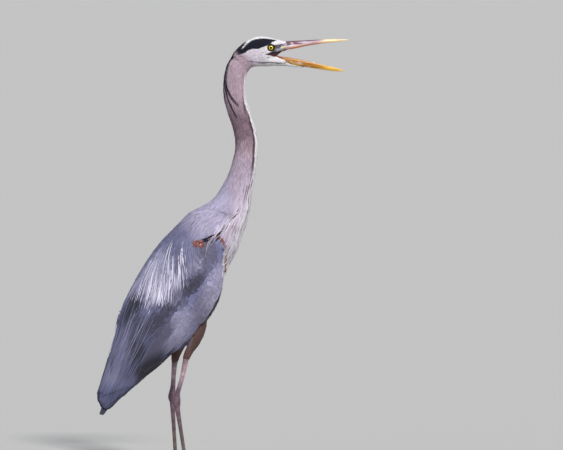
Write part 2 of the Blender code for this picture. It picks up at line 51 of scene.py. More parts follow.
# ---------------------------------------------------------------- the body's stations
# As the solids have them: x, z, half depth, half width, and the lean of the cross-section in degrees.
NECK = [
    (0.055, 0.974, 0.0250, 0.0190, 45),
    (0.039, 0.955, 0.0245, 0.0195, 28),
    (0.032, 0.939, 0.0245, 0.0195, 13),
    (0.028, 0.910, 0.0245, 0.0195, 2),
    (0.030, 0.880, 0.0251, 0.0195, -10),
    (0.039, 0.848, 0.0251, 0.0195, -17),
    (0.048, 0.821, 0.0245, 0.0195, -16),
    (0.055, 0.791, 0.0254, 0.0205, -8),
    (0.056, 0.761, 0.0256, 0.0220, 3),
    (0.052, 0.734, 0.0277, 0.0245, 10),
    (0.046, 0.705, 0.0296, 0.0275, 15),
    (0.034, 0.670, 0.0345, 0.0320, 17),
]
BODY = [
    (0.019, 0.632, 0.0453, 0.0400, 15),
    (-0.009, 0.608, 0.0633, 0.0500, 14),
    (-0.034, 0.564, 0.0746, 0.0620, 18),
    (-0.063, 0.521, 0.0837, 0.0690, 20),
    (-0.084, 0.474, 0.0950, 0.0720, 19),
    (-0.109, 0.425, 0.0984, 0.0715, 18),
    (-0.140, 0.375, 0.0923, 0.0660, 18),
    (-0.165, 0.337, 0.0797, 0.0560, 17),
    (-0.192, 0.294, 0.0653, 0.0450, 12),
    (-0.219, 0.253, 0.0506, 0.0370, 8),
    (-0.244, 0.217, 0.0368, 0.0320, 7),
    (-0.263, 0.189, 0.0258, 0.0285, 5),
    (-0.2725, 0.164, 0.0125, 0.0220, 2),
]
SPINE = np.array(NECK + BODY)
CHEST = len(NECK)
LAST = len(SPINE) - 1
LEFT, RIGHT = 1, -1
SIDES = ((LEFT, "left"), (RIGHT, "right"))
NECK_PARTS = ["neck_upper", "neck_middle", "neck_lower"]
THIGHS = ["thigh_left", "thigh_right"]
FLESH = ["head", "jaw", *NECK_PARTS, "trunk", "undertail", *THIGHS]
WINGS = ["wing_left", "wing_right", "primaries_left", "primaries_right"]
FORM = FLESH + WINGS + ["breast_plumes", "mantle", "tail"]
WING_TIP = np.array([-0.285, 0.0, 0.115])  # where the quills of the folded wing all point

# ---------------------------------------------------------------- plumage colours
WHITE = (0.78, 0.76, 0.79)
SHADED_CHEEK = (0.66, 0.58, 0.68)
BLACK = (0.006, 0.007, 0.018)
MAUVE = (0.45, 0.335, 0.4)
MAUVE_DARK = (0.135, 0.08, 0.106)
MAUVE_PALE = (0.42, 0.34, 0.435)
BREAST = (0.6, 0.53, 0.66)
SHOULDER = (0.38, 0.35, 0.49)
BLUE_GREY = (0.145, 0.148, 0.275)
SILVER = (0.72, 0.69, 0.84)
QUILL = (0.08, 0.083, 0.165)
BELLY = (0.014, 0.014, 0.024)
CHESTNUT = (0.16, 0.04, 0.03)
THIGH = (0.12, 0.066, 0.06)
LORE = (0.075, 0.072, 0.095)
GAPE_RED = (0.06, 0.014, 0.016)
MOUTH = (0.4, 0.14, 0.12)


# ---------------------------------------------------------------- numbers
def ramp(x, low, high):
    """0 at low, 1 at high and smooth between them; low may be the larger."""
    t = np.clip((np.asarray(x, float) - low) / (high - low), 0, 1)
    return t * t * (3 - 2 * t)


def unit(v):
    return v / np.maximum(np.linalg.norm(v, axis=-1, keepdims=True), 1e-9)


def between(rows, at):
    """Rows of numbers read at fractional places, on a smooth curve through all of them."""
    rows = np.asarray(rows, float)
    at = np.clip(np.asarray(at, float), 0, len(rows) - 1)
    i = np.minimum(at.astype(int), len(rows) - 2)
    t = (at - i)[..., None]
    p, q, r, s = (rows[np.clip(i + k, 0, len(rows) - 1)] for k in (-1, 0, 1, 2))
    return 0.5 * (2 * q + (r - p) * t + (2 * p - 5 * q + 4 * r - s) * t**2 + (3 * q - p - 3 * r + s) * t**3)


WAVES = rng.normal(size=(24, 3))
PHASES = rng.uniform(0, 2 * math.pi, 24)


def drift(points, scale):
    """Smooth random numbers, mostly from -1 to 1, that change over this distance."""
    return np.sin(points @ WAVES.T / scale + PHASES).sum(1) / 4.5


# Fine table of the spine, for finding where on the body a point is.
TABLE_AT = np.arange(0, LAST + 0.001, 0.05)
TABLE = between(SPINE, TABLE_AT)


def body_place(points):
    """The station of each point on the body and its angle round the spine."""
    stations, angles = np.empty(len(points)), np.empty(len(points))
    lean = np.radians(TABLE[:, 4])
    sin, cos = np.sin(lean), np.cos(lean)
    batch = 8000  # points at a time, to keep the tables small
    for start in range(0, len(points), batch):
        p = points[start : start + batch]
        dx = p[:, :1] - TABLE[None, :, 0]
        dz = p[:, 2:] - TABLE[None, :, 1]
        off = np.abs(dx * sin + dz * cos)
        reach = (-dx * cos + dz * sin) / TABLE[None, :, 2]
        best = np.argmin(off + 0.02 * np.maximum(np.abs(reach) - 1.2, 0), axis=1)
        row = np.arange(len(p))
        stations[start : start + batch] = TABLE_AT[best]
        wide = np.abs(p[:, 1]) / TABLE[best, 3]
        angles[start : start + batch] = np.degrees(np.arctan2(reach[row, best], wide))
    return stations, angles


def body_point(at, angle, cut):
    """Points on the right side's outline at these stations and angles, this far under it."""
    x, z, depth, width, lean = np.moveaxis(between(SPINE, at), -1, 0)
    a = np.radians(angle)
    corner = 2 / 2.15  # the power that gives the cross-section its slightly square shoulders
    across = np.abs(np.cos(a)) ** corner
    reach = np.sign(np.sin(a)) * np.abs(np.sin(a)) ** corner * (depth - cut)
    lean = np.radians(lean)
    across = RIGHT * across * (width - cut)
    return np.stack([x - reach * np.cos(lean), across, z + reach * np.sin(lean)], -1)


def spine_way(at):
    """The direction in which the spine runs on towards the tail."""
    ahead, behind = between(SPINE, at + 0.3), between(SPINE, at - 0.3)
    way = np.zeros((len(at), 3))
    way[:, 0] = ahead[:, 0] - behind[:, 0]
    way[:, 2] = ahead[:, 1] - behind[:, 1]
    return unit(way)


# ---------------------------------------------------------------- markings, for skin and plumage alike
# The upper and lower edges of the black band over the eye, as x and z.
BAND_TOP = [
    (0.036, 0.982), (0.0404, 0.9866), (0.048, 0.9945), (0.058, 1.0045), (0.0686, 1.0125),
    (0.084, 1.0172), (0.1035, 1.0165), (0.118, 1.0140), (0.128, 1.0120),
]
BAND_LOW = [
    (0.036, 0.9815), (0.0467, 0.9815), (0.0534, 0.9843), (0.060, 0.9900), (0.0686, 0.9927),
    (0.0816, 0.9941), (0.0948, 0.9975), (0.1035, 1.0018), (0.1145, 1.0080), (0.128, 1.0118),
]
EYE = np.array([0.1117, 0.0122, 0.9964])
EYE_RADIUS = 0.0078

# Ovals on the side of the body: x, z, half length, half width, slant, how strongly they show, and colour.
# Most are the plumage's own lighter and darker fields; some are painted light: a highlight on the shoulder,
# painted shadow low on the wing behind the thigh and painted shade near the back edge.
SIDE_PATCHES_AND_PAINTED_LIGHT = [
    # Painted highlight on the shoulder.
    (-0.022, 0.614, 0.074, 0.036, 42, 0.90, (0.420, 0.385, 0.535)),
    (-0.104, 0.540, 0.070, 0.030, 56, 0.80, (0.112, 0.115, 0.222)),
    (-0.076, 0.512, 0.050, 0.024, 60, 0.60, (0.195, 0.190, 0.315)),
    (-0.096, 0.494, 0.036, 0.015, 74, 0.80, (0.115, 0.114, 0.205)),
    (-0.170, 0.320, 0.080, 0.044, 60, 0.90, (0.064, 0.062, 0.110)),
    (-0.040, 0.400, 0.050, 0.026, 70, 0.85, (0.150, 0.138, 0.205)),
    (-0.124, 0.335, 0.050, 0.020, 62, 0.70, (0.098, 0.091, 0.142)),
    (-0.091, 0.364, 0.048, 0.020, 76, 0.92, (0.285, 0.270, 0.395)),
    (-0.012, 0.458, 0.052, 0.024, 74, 0.80, (0.320, 0.298, 0.425)),
    # Painted shadow low on the wing, behind the thigh: this oval and the next.
    (-0.184, 0.300, 0.056, 0.015, 117, 0.95, (0.014, 0.014, 0.027)),
    (-0.152, 0.280, 0.046, 0.019, 46, 0.95, (0.013, 0.012, 0.021)),
    (-0.098, 0.4275, 0.088, 0.0155, 46, 0.95, (0.066, 0.061, 0.102)),
    (-0.062, 0.462, 0.034, 0.014, 50, 0.85, (0.042, 0.039, 0.066)),
    (-0.150, 0.378, 0.034, 0.017, 45, 0.85, (0.046, 0.043, 0.074)),
    (-0.034, 0.530, 0.044, 0.023, 80, 0.95, (0.108, 0.101, 0.164)),
    (-0.138, 0.470, 0.055, 0.024, 62, 0.55, (0.300, 0.290, 0.430)),
    (-0.188, 0.475, 0.060, 0.020, 66, 0.75, (0.290, 0.286, 0.450)),
    # Painted shade near the back edge.
    (-0.204, 0.396, 0.046, 0.019, 68, 1.00, (0.014, 0.016, 0.040)),
    (-0.242, 0.285, 0.090, 0.022, 66, 0.90, (0.150, 0.148, 0.240)),
    (-0.194, 0.345, 0.060, 0.018, 80, 0.60, (0.032, 0.033, 0.064)),
    (0.008, 0.465, 0.042, 0.010, 82, 0.70, (0.190, 0.180, 0.270)),
    (0.030, 0.556, 0.024, 0.009, 80, 0.30, (0.720, 0.680, 0.760)),
    (-0.147, 0.508, 0.034, 0.013, 60, 0.60, (0.400, 0.390, 0.540)),
    (-0.060, 0.504, 0.024, 0.012, 60, 0.70, (0.290, 0.282, 0.420)),
    (-0.198, 0.238, 0.040, 0.014, 50, 0.60, (0.050, 0.050, 0.084)),
    (-0.106, 0.438, 0.024, 0.014, 60, 0.70, (0.240, 0.232, 0.350)),
]
# The front edge of the folded wing, as z and x.
WING_FRONT = [
    (0.4800, 0.0078), (0.5162, 0.0092), (0.5278, 0.0100), (0.5424, 0.0085), (0.5540, 0.0046),
    (0.5640, -0.0015), (0.5690, -0.0060), (0.5760, -0.0340),
]
# Patches on the lores: x, z, half length, half width, slant, how soft the rim is, how strongly the patch
# shows, where its mottling starts and ends, and colour.
LORE_PATCHES = [
    (0.1290, 0.9920, 0.0090, 0.0034, 10, 0.6, 0.85, -0.7, 0.4, (0.27, 0.25, 0.31)),
    (0.1450, 1.0050, 0.0110, 0.0040, 8, 0.6, 0.90, -0.3, 0.4, (0.42, 0.35, 0.47)),
    (0.1440, 1.0045, 0.0120, 0.0040, 8, 0.6, 0.85, -0.2, -0.9, (0.10, 0.045, 0.080)),
    (0.1420, 0.9978, 0.0085, 0.0026, 14, 0.6, 0.95, -1.2, -0.3, (0.80, 0.70, 0.48)),
    (0.1470, 0.9936, 0.0100, 0.0022, 26, 0.7, 0.85, -0.9, 0.1, (0.52, 0.34, 0.33)),
]
# Painted shade in the creases of the lores: x, z, half length and half width.
LORE_CREASE_SHADE = [
    (0.1232, 0.9988, 0.0030, 0.0016),
    (0.1325, 0.9990, 0.0026, 0.0016),
    (0.1285, 0.9962, 0.0042, 0.0009),
    (0.1365, 1.0022, 0.0036, 0.0011),
]


def all_of(points, colour):
    """One colour for every point."""
    return np.tile(np.array(colour), (len(points), 1))


def paint(base, colour, weight):
    """The base colours with this colour over them, as strongly as its weight says."""
    w = np.clip(weight, 0, 1)[:, None]
    return base * (1 - w) + np.asarray(colour) * w


def oval(x, z, middle_x, middle_z, long, wide, slant, soft=0.45):
    """1 inside an oval seen from the side, falling smoothly to 0 round its edge."""
    cos, sin = math.cos(math.radians(slant)), math.sin(math.radians(slant))
    u = ((x - middle_x) * cos + (z - middle_z) * sin) / long
    v = ((z - middle_z) * cos - (x - middle_x) * sin) / wide
    return ramp(np.hypot(u, v), 1 + soft, 1 - soft)


def head_weight(points):
    """1 on the head and 0 on the neck, with a soft change between them."""
    x, z = points[:, 0], points[:, 2]
    return ramp(x + (z - 0.975) * 0.9, 0.03, 0.052) * (z > 0.93)


def neck_and_body(points, at, angle):
    """The colours of everything but the head and the thighs."""
    x, y, z = points.T
    colour = all_of(points, MAUVE)
    # Neck: warm and pale above, dark in the bend, where darker plumage is deepened with painted shade, cool
    # and pale below.
    colour = paint(colour, MAUVE_DARK, 0.75 * ramp(at, 3.6, 5.6) * (1 - ramp(at, 6.4, 8.4)))
    colour = paint(colour, MAUVE_PALE, ramp(at, 7.5, 9.5))
    hind = ramp(angle, 30, 85) * ramp(at, 1.5, 4) * (1 - ramp(at, 7, 10))
    colour = paint(colour, MAUVE_DARK, 0.55 * hind)
    colour = paint(colour, BREAST, ramp(at, 9.0, 11.5) * ramp(angle, 12, -22))
    fine = drift(points * [1, 1, 0.1], 0.002)
    colour = colour * (1 + 0.05 * fine)[:, None]
    # Blue-grey back with its lighter and darker fields, among them a painted highlight and painted shade.
    start = at + 0.03 * np.clip(angle, -60, 60)
    body = ramp(start, CHEST - 1.2, CHEST + 0.8) * ramp(at, CHEST - 2.4, CHEST - 1.2)
    body = body * ramp(angle, -34, -10)
    colour = paint(colour, SHOULDER, body * 0.9)
    front = np.interp(z, *zip(*WING_FRONT))
    wing = ramp(x, front + 0.002, front - 0.003) * ramp(z, 0.577, 0.569)
    body = np.maximum(np.maximum(body, ramp(at, CHEST + 2.4, CHEST + 3.6)), wing)
    colour = paint(colour, BLUE_GREY, body * np.maximum(ramp(at, CHEST + 0.6, CHEST + 2.6), wing))
    flank = body * ramp(angle, -66, -52)
    for *place, strength, tint in SIDE_PATCHES_AND_PAINTED_LIGHT:
        colour = paint(colour, tint, flank * strength * oval(x, z, *place))
    # White down the front with broken dark streaks on both sides of it, and the nape's black line.
    grain = drift(points, 0.006)
    narrow = angle + 3 * grain + 12 * (1 - ramp(at, 2.6, 4.6))
    line = ramp(narrow, -46, -53) * ramp(at, 1.2, 2.2) * (1 - ramp(at, CHEST + 3.0, CHEST + 4.0))
    colour = paint(colour, WHITE, line * 0.95)
    streak = ramp(drift(points * [1, 1, 0.16], 0.003) + 0.25, 0.0, 0.5) * ramp(at, 3, 5)
    streak = streak * (1 - ramp(at, CHEST - 3.5, CHEST - 1.5))
    streak = 0.9 * streak * ramp(angle + 3 * grain, -29, -38) * ramp(angle + 3 * grain, -53, -47)
    colour = paint(colour, (0.055, 0.028, 0.036), streak)
    colour = paint(colour, BLACK, ramp(angle, 62, 74) * (1 - ramp(at, 3.0, 4.4)) * ramp(at, 0.2, 0.5))
    # Blackish belly, pale under the tail, and quill grey over the tail's root.
    belly = ramp(at, CHEST + 3.2, CHEST + 4.4) * ramp(angle, -50, -66)
    colour = paint(colour, BELLY, belly)
    under = ramp(at, CHEST + 7.0, CHEST + 7.8) * ramp(angle, -8, -16) * (np.abs(y) < 0.03)
    colour = paint(colour, (0.5, 0.49, 0.53), 0.8 * under)
    return paint(colour, QUILL, ramp(at, LAST - 3.4, LAST - 2.4))


def thigh_place(points):
    """How far behind and beside the thigh's middle each point is, in half widths of the thigh."""
    x, y, z = points.T
    right = np.interp(z, [0.28, 0.33, 0.39], [-0.084, -0.06, -0.054])
    left = np.interp(z, [0.27, 0.33, 0.39], [-0.11, -0.089, -0.062])
    middle = np.where(y < 0, right, left)
    width = np.interp(z, [0.27, 0.33, 0.39], [0.008, 0.014, 0.024])
    return (middle - x) / width, (np.abs(y) - 0.033) / width


def thigh_colours(points):
    """Rufous, darker in front and with a pale rear edge."""
    z = points[:, 2]
    back = thigh_place(points)[0]
    colour = all_of(points, THIGH) * (1 + 0.18 * drift(points, 0.008))[:, None]
    colour = paint(colour, (0.155, 0.12, 0.145), ramp(back, 0.25, 0.8) * ramp(z, 0.3, 0.32))
    return paint(colour, (0.1, 0.058, 0.055), ramp(back, -0.3, -0.8) * 0.7)


def head_colours(points):
    """White, with a black band over each eye that runs back to the crest; the lower face, the throat and
    the chin's underside carry painted shade.
    """
    x, z = points[:, 0], points[:, 2]
    tint = all_of(points, WHITE)
    # Painted shade: the white of the lower face turns lilac under the head.
    tint = paint(tint, SHADED_CHEEK, 0.8 * ramp(z, 1.004, 0.99) * ramp(x, 0.12, 0.07))
    tint = paint(tint, MAUVE, ramp(x - 0.9 * (0.985 - z), 0.058, 0.038) * ramp(z, 0.988, 0.978))
    low = np.interp(x, *zip(*BAND_LOW))
    high = np.interp(x, *zip(*BAND_TOP))
    wobble = 0.0006 * drift(points, 0.005)
    band = ramp(z, low - 0.0006 + wobble, low + 0.0008 + wobble)
    band = band * ramp(z, high + 0.0006, high - 0.0008)
    band = band * (x < 0.128) * (x > 0.034)
    # The nape's black patch: it joins the rear ends of both bands and runs up the crown's edge to a point.
    nape = ramp((x - 0.0345) - 0.62 * (z - 0.984), 0.0062, 0.0048) * ramp(z, 0.978, 0.9805)
    nape = np.maximum(nape, oval(x, z, 0.0415, 0.9855, 0.0078, 0.0048, 28, 0.2))
    tint = paint(tint, BLACK, np.maximum(band, nape))
    grain = drift(points, 0.004)
    # Painted shadow: a dark ragged line along the throat under the jaw.
    throat_shadow = ramp(np.abs(z - 0.9618 + 0.01 * (x - 0.12) - 0.0004 * grain), 0.002, 0.0006)
    throat_shadow = throat_shadow * ramp(x, 0.08, 0.09) * ramp(x, 0.15, 0.142)
    tint = paint(tint, (0.035, 0.032, 0.026), 0.92 * throat_shadow)
    # Painted shadow along the throat's lower edge, where the head meets the neck.
    tint = paint(tint, (0.1, 0.08, 0.09), 0.75 * oval(x, z, 0.075, 0.964, 0.015, 0.0012, -6, 0.5))
    tint = paint(tint, (0.07, 0.05, 0.06), 0.85 * oval(x, z, 0.106, 0.9735, 0.003, 0.001, -20, 0.5))
    # Painted shade, khaki, along the underside of the chin.
    return paint(tint, (0.4, 0.38, 0.33), 0.35 * ramp(z, 0.9585, 0.9555) * ramp(x, 0.16, 0.14))


def markings(points, at, angle, thighs=False):
    """The plumage's colour at each point, with or without the thighs, which the wings hang over."""
    colour = neck_and_body(points, at, angle)
    if thighs:
        behind, beside = thigh_place(points)
        thigh = (points[:, 2] < 0.385) & (points[:, 2] > 0.25) & (np.hypot(behind, beside) < 1.35)
        colour = np.where(thigh[:, None], thigh_colours(points), colour)
    face = head_weight(points)[:, None]
    return colour * (1 - face) + head_colours(points) * face


def mouth_roof(x):
    """The lower edge of the upper jaw, where its skin meets the open mouth."""
    return np.interp(
        x,
        [0.1000, 0.1180, 0.1254, 0.1297, 0.1400, 0.1551],
        [0.9815, 0.9795, 0.9780, 0.9806, 0.9870, 0.9915],
    )


def bare_face(points):
    """True in front of the eye, round it and in the mouth, where no feathers grow."""
    x, y, z = points.T
    eye = np.hypot(x - EYE[0], z - EYE[2]) < 0.0084
    top = 1.0021 + 0.168 * (x - 0.1195)
    lore = (x > 0.1155) & (z < np.where(x < 0.1465, top, 1.02)) & (z > mouth_roof(x) - 0.001)
    above = np.interp(x, [0.1, 0.106, 0.111, 0.116, 0.118], [0.9822, 0.9838, 0.9862, 0.989, 0.996])
    below = np.interp(x, [0.1, 0.11, 0.12], [0.9806, 0.9786, 0.9756])
    corner = (x > 0.1) & (x < 0.128) & (z < above) & (z > below)
    mouth = (x > 0.12) & (z > 0.972) & (z < 0.9905) & (np.abs(y) < 0.0095)
    return eye | lore | corner | mouth


def bare_colours(points, colour):
    """The face's bare skin: mottled grey lores with a yellow spot, and a maroon edge to the mouth."""
    x, y, z = points.T
    roof = mouth_roof(x)
    skin = all_of(points, LORE)
    mottle = drift(points * [0.5, 1, 1], 0.0016)
    for *place, strength, start, end, tint in LORE_PATCHES:
        skin = paint(skin, tint, strength * oval(x, z, *place) * ramp(mottle, start, end))
    # Painted shade in the creases.
    for place in LORE_CREASE_SHADE:
        skin = paint(skin, (0.006, 0.004, 0.01), oval(x, z, *place, -6))
    skin = paint(skin, (0.004, 0.003, 0.006), ramp(np.hypot(x - EYE[0], z - EYE[2]), 0.01, 0.0086))
    dark_rim = ramp(z, roof + 0.01, roof + 0.006) * ramp(x, 0.142, 0.128)
    skin = paint(skin, (0.008, 0.004, 0.006), dark_rim)
    skin = paint(skin, GAPE_RED, ramp(z, roof + 0.0048, roof + 0.0026) * ramp(x, 0.152, 0.138))
    orange_rim = 0.85 * ramp(x, 0.132, 0.142) * ramp(z, roof + 0.0032, roof + 0.0014)
    skin = paint(skin, (0.4, 0.13, 0.06), orange_rim)
    skin = paint(skin, MOUTH, ramp(np.abs(y), 0.0115, 0.0095) * ramp(z, roof + 0.002, roof) * (x > 0.12))
    return np.where(bare_face(points)[:, None], skin, colour)


# ---------------------------------------------------------------- mesh tools
def merged_copy(names):
    """One bmesh with copies of these nodes of the solid model."""
    bm = bmesh.new()
    for name in names:
        bm.from_mesh(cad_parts[name].data)
    bmesh.ops.remove_doubles(bm, verts=bm.verts, dist=1e-6)
    return bm


def verts_of(bm):
    return np.array([v.co[:] for v in bm.verts])


def move_verts(bm, points):
    for v, p in zip(bm.verts, points):
        v.co = p


def smooth(bm, verts, rounds=1):
    """Draws these vertices half way to the middle of their neighbours, this many times."""
    axes = {"use_axis_" + axis: True for axis in "xyz"}
    for _ in range(rounds):
        bmesh.ops.smooth_vert(bm, verts=verts, factor=0.5, **axes)


def new_object(name, mesh, material):
    obj = bpy.data.objects.new(name, mesh)
    bpy.context.scene.collection.objects.link(obj)
    mesh.shade_smooth()
    mesh.materials.append(material)
    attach(obj, "root")
    return obj


def from_bmesh(name, bm, material):
    bmesh.ops.recalc_face_normals(bm, faces=bm.faces)
    mesh = bpy.data.meshes.new(name)
    bm.to_mesh(mesh)
    bm.free()
    return new_object(name, mesh, material)


def coordinates(mesh):
    out = np.empty(len(mesh.vertices) * 3, np.float32)
    mesh.vertices.foreach_get("co", out)
    return out.reshape(-1, 3).astype(float)


def evaluated_mesh(obj):
    bpy.context.view_layer.update()
    graph = bpy.context.evaluated_depsgraph_get()
    return bpy.data.meshes.new_from_object(obj.evaluated_get(graph))


def set_tint(mesh, colours):
    attribute = mesh.attributes.new("tint", "FLOAT_COLOR", "POINT")
    data = np.ones((len(mesh.vertices), 4), np.float32)
    data[:, :3] = colours
    attribute.data.foreach_set("color", data.ravel())


# ---------------------------------------------------------------- materials
def nodes_of(name):
    material = bpy.data.materials.new(name)
    material.use_nodes = True
    tree = material.node_tree
    return material, tree, tree.nodes["Principled BSDF"]


def set_inputs(node, **values):
    """Sets inputs by their names, written with _ for a space."""
    for name, value in values.items():
        node.inputs[name.replace("_", " ")].default_value = value


def maths(tree, operation, a, b=None, c=None, clamp=False):
    node = tree.nodes.new("ShaderNodeMath")
    node.operation = operation
    node.use_clamp = clamp
    for socket, value in zip(node.inputs, (a, b, c)):
        if value is None:
            continue
        if isinstance(value, (int, float)):
            socket.default_value = value
        else:
            tree.links.new(value, socket)
    return node.outputs[0]


def attribute(tree, name):
    node = tree.nodes.new("ShaderNodeAttribute")
    node.attribute_name = name
    return node


def mixed(tree, factor, a, b, blend="MIX"):
    node = tree.nodes.new("ShaderNodeMix")
    node.data_type = "RGBA"
    node.blend_type = blend
    for socket, value in ((node.inputs[0], factor), (node.inputs[6], a), (node.inputs[7], b)):
        if isinstance(value, (int, float)):
            socket.default_value = value
        elif isinstance(value, tuple):
            socket.default_value = (*value, 1)
        else:
            tree.links.new(value, socket)
    return node.outputs[2]


def noise(tree, scale, detail=3.0, stretch=None, roughness=0.55, source=None):
    """A noise texture on Object coordinates, in features per metre, stretched if asked."""
    node = tree.nodes.new("ShaderNodeTexNoise")
    set_inputs(node, Scale=scale, Detail=detail, Roughness=roughness)
    place = source or tree.nodes.new("ShaderNodeTexCoord").outputs["Object"]
    if stretch:
        mapping = tree.nodes.new("ShaderNodeMapping")
        mapping.inputs["Scale"].default_value = stretch
        tree.links.new(place, mapping.inputs["Vector"])
        place = mapping.outputs["Vector"]
    tree.links.new(place, node.inputs["Vector"])
    return node.outputs["Fac"]


def curve(tree, factor, *stops):
    """A colour ramp; each stop is a place and a colour, or a place and a grey."""
    node = tree.nodes.new("ShaderNodeValToRGB")
    ramp_ = node.color_ramp
    while len(ramp_.elements) < len(stops):
        ramp_.elements.new(0.5)
    for element, (place, colour) in zip(ramp_.elements, stops):
        element.position = place
        colour = (colour,) * 3 if isinstance(colour, (int, float)) else colour
        element.color = (*colour, 1)
    tree.links.new(factor, node.inputs["Fac"])
    return node.outputs["Color"]


def bump(tree, shader, height, strength, distance):
    node = tree.nodes.new("ShaderNodeBump")
    set_inputs(node, Strength=strength, Distance=distance)
    tree.links.new(height, node.inputs["Height"])
    tree.links.new(node.outputs["Normal"], shader.inputs["Normal"])


def plumage_material(name, roughness, sheen, barbs, contrast, shaft=0.0, specular=0.3):
    """Feathers: their own tint, with barbs that sweep out from the shaft.

    barbs is the barbs' phase in radians to a metre, and spread how much the feathers differ in shade."""
    spread = 0.12
    material, tree, shader = nodes_of(name)
    tint = attribute(tree, "tint").outputs["Color"]
    vane = tree.nodes.new("ShaderNodeSeparateXYZ")
    tree.links.new(attribute(tree, "vane").outputs["Vector"], vane.inputs[0])
    across, along, chance = vane.outputs
    outward = maths(tree, "ABSOLUTE", across)
    sweep = maths(tree, "SUBTRACT", along, maths(tree, "MULTIPLY", outward, 1.6))
    ripple = noise(tree, 420, 2)
    phase = maths(tree, "ADD", maths(tree, "MULTIPLY", sweep, barbs), maths(tree, "MULTIPLY", ripple, 5.0))
    stripes = maths(tree, "MULTIPLY_ADD", maths(tree, "SINE", phase), 0.5, 0.5)
    cast = maths(tree, "MULTIPLY_ADD", chance, spread, 1 - 0.5 * spread)
    striped = maths(tree, "MULTIPLY_ADD", stripes, contrast, 1 - contrast * 0.5)
    shade = maths(tree, "MULTIPLY", cast, striped)
    grey = tree.nodes.new("ShaderNodeCombineColor")
    for socket in grey.inputs[:3]:
        tree.links.new(shade, socket)
    colour = mixed(tree, 1.0, tint, grey.outputs[0], "MULTIPLY")
    if shaft:
        rib = maths(tree, "SUBTRACT", 1.0, maths(tree, "DIVIDE", outward, 0.0007), clamp=True)
        colour = mixed(tree, maths(tree, "MULTIPLY", rib, shaft), colour, (0.3, 0.29, 0.34))
    tree.links.new(colour, shader.inputs["Base Color"])
    set_inputs(shader, Roughness=roughness, Specular_IOR_Level=specular)
    set_inputs(shader, Sheen_Weight=sheen, Sheen_Roughness=0.45)
    bump(tree, shader, stripes, 0.35, 0.0002)
    return material


def skin_material():
    """Under the plumage and on the bare face: fine creases and pores."""
    material, tree, shader = nodes_of("bare skin")
    tint = attribute(tree, "tint").outputs["Color"]
    pores = noise(tree, 1400, 2)
    folds = noise(tree, 300, 3, stretch=(0.35, 1, 1))
    height = maths(tree, "ADD", pores, maths(tree, "MULTIPLY", folds, 1.5))
    colour = mixed(tree, 1.0, tint, curve(tree, folds, (0.3, 0.72), (0.7, 1.1)), "MULTIPLY")
    tree.links.new(colour, shader.inputs["Base Color"])
    set_inputs(shader, Roughness=0.5, Specular_IOR_Level=0.4)
    bump(tree, shader, height, 0.4, 0.0003)
    return material


def horn_material(name, roughness=0.3):
    """Bill horn: its tint, streaked lengthwise with growth lines and worn to a dull polish."""
    material, tree, shader = nodes_of(name)
    tint = attribute(tree, "tint").outputs["Color"]
    growth = noise(tree, 260, 4, stretch=(0.1, 1, 1), roughness=0.6)
    blotch = noise(tree, 60, 3, stretch=(0.35, 1, 1))
    colour = mixed(tree, 1.0, tint, curve(tree, growth, (0.3, 0.74), (0.62, 1.12)), "MULTIPLY")
    colour = mixed(tree, 1.0, colour, curve(tree, blotch, (0.35, 0.88), (0.65, 1.08)), "MULTIPLY")
    tree.links.new(colour, shader.inputs["Base Color"])
    polish = curve(tree, growth, (0.3, roughness), (0.7, roughness + 0.16))
    tree.links.new(polish, shader.inputs["Roughness"])
    set_inputs(shader, Coat_Weight=0.25, Coat_Roughness=0.25)
    set_inputs(shader, Subsurface_Weight=0.06, Subsurface_Radius=(0.002, 0.001, 0.0006))
    bump(tree, shader, growth, 0.25, 0.0003)
    return material


def scale_material(name):
    """Leg skin: horny scales with dark creases between them."""
    material, tree, shader = nodes_of(name)
    tint = attribute(tree, "tint").outputs["Color"]
    cells = tree.nodes.new("ShaderNodeTexVoronoi")
    cells.feature = "DISTANCE_TO_EDGE"
    cells.inputs["Scale"].default_value = 420
    mapping = tree.nodes.new("ShaderNodeMapping")
    mapping.inputs["Scale"].default_value = (1.0, 1.0, 0.62)
    tree.links.new(tree.nodes.new("ShaderNodeTexCoord").outputs["Object"], mapping.inputs["Vector"])
    tree.links.new(mapping.outputs["Vector"], cells.inputs["Vector"])
    crease = curve(tree, cells.outputs["Distance"], (0.0, 0.45), (0.1, 1.0))
    mottle = noise(tree, 90, 4)
    colour = mixed(tree, 1.0, tint, crease, "MULTIPLY")
    stains = curve(tree, mottle, (0.35, (0.62, 0.56, 0.6)), (0.62, (1.2, 1.12, 1.12)))
    colour = mixed(tree, 1.0, colour, stains, "MULTIPLY")
    tree.links.new(colour, shader.inputs["Base Color"])
    set_inputs(shader, Roughness=0.48, Specular_IOR_Level=0.45)
    bump(tree, shader, cells.outputs["Distance"], 0.5, 0.0008)
    return material


# ---------------------------------------------------------------- the surface that the plumage lies on
BODY_VOXEL = 0.0032
HEAD_VOXEL = 0.0011
SWELL = 0.0016  # how far the solids are swollen before they are closed, so that thin gaps go
HEAD_FROM, HEAD_WHOLE = 0.944, 0.956  # heights between which the surface turns into the finer head


def evaluated_bmesh(bm, kind, **settings):
    """What a modifier of this kind makes of the mesh."""
    mesh = bpy.data.meshes.new("form")
    bm.to_mesh(mesh)
    bm.free()
    obj = bpy.data.objects.new("form", mesh)
    bpy.context.scene.collection.objects.link(obj)
    modifier = obj.modifiers.new("form", kind)
    for key, value in settings.items():
        setattr(modifier, key, value)
    out = bmesh.new()
    out.from_mesh(evaluated_mesh(obj))
    bpy.data.objects.remove(obj)
    return out


def rounded_copy(name):
    """A copy of one solid, with its facets rounded off."""
    return evaluated_bmesh(merged_copy([name]), "SUBSURF", levels=2, render_levels=2)


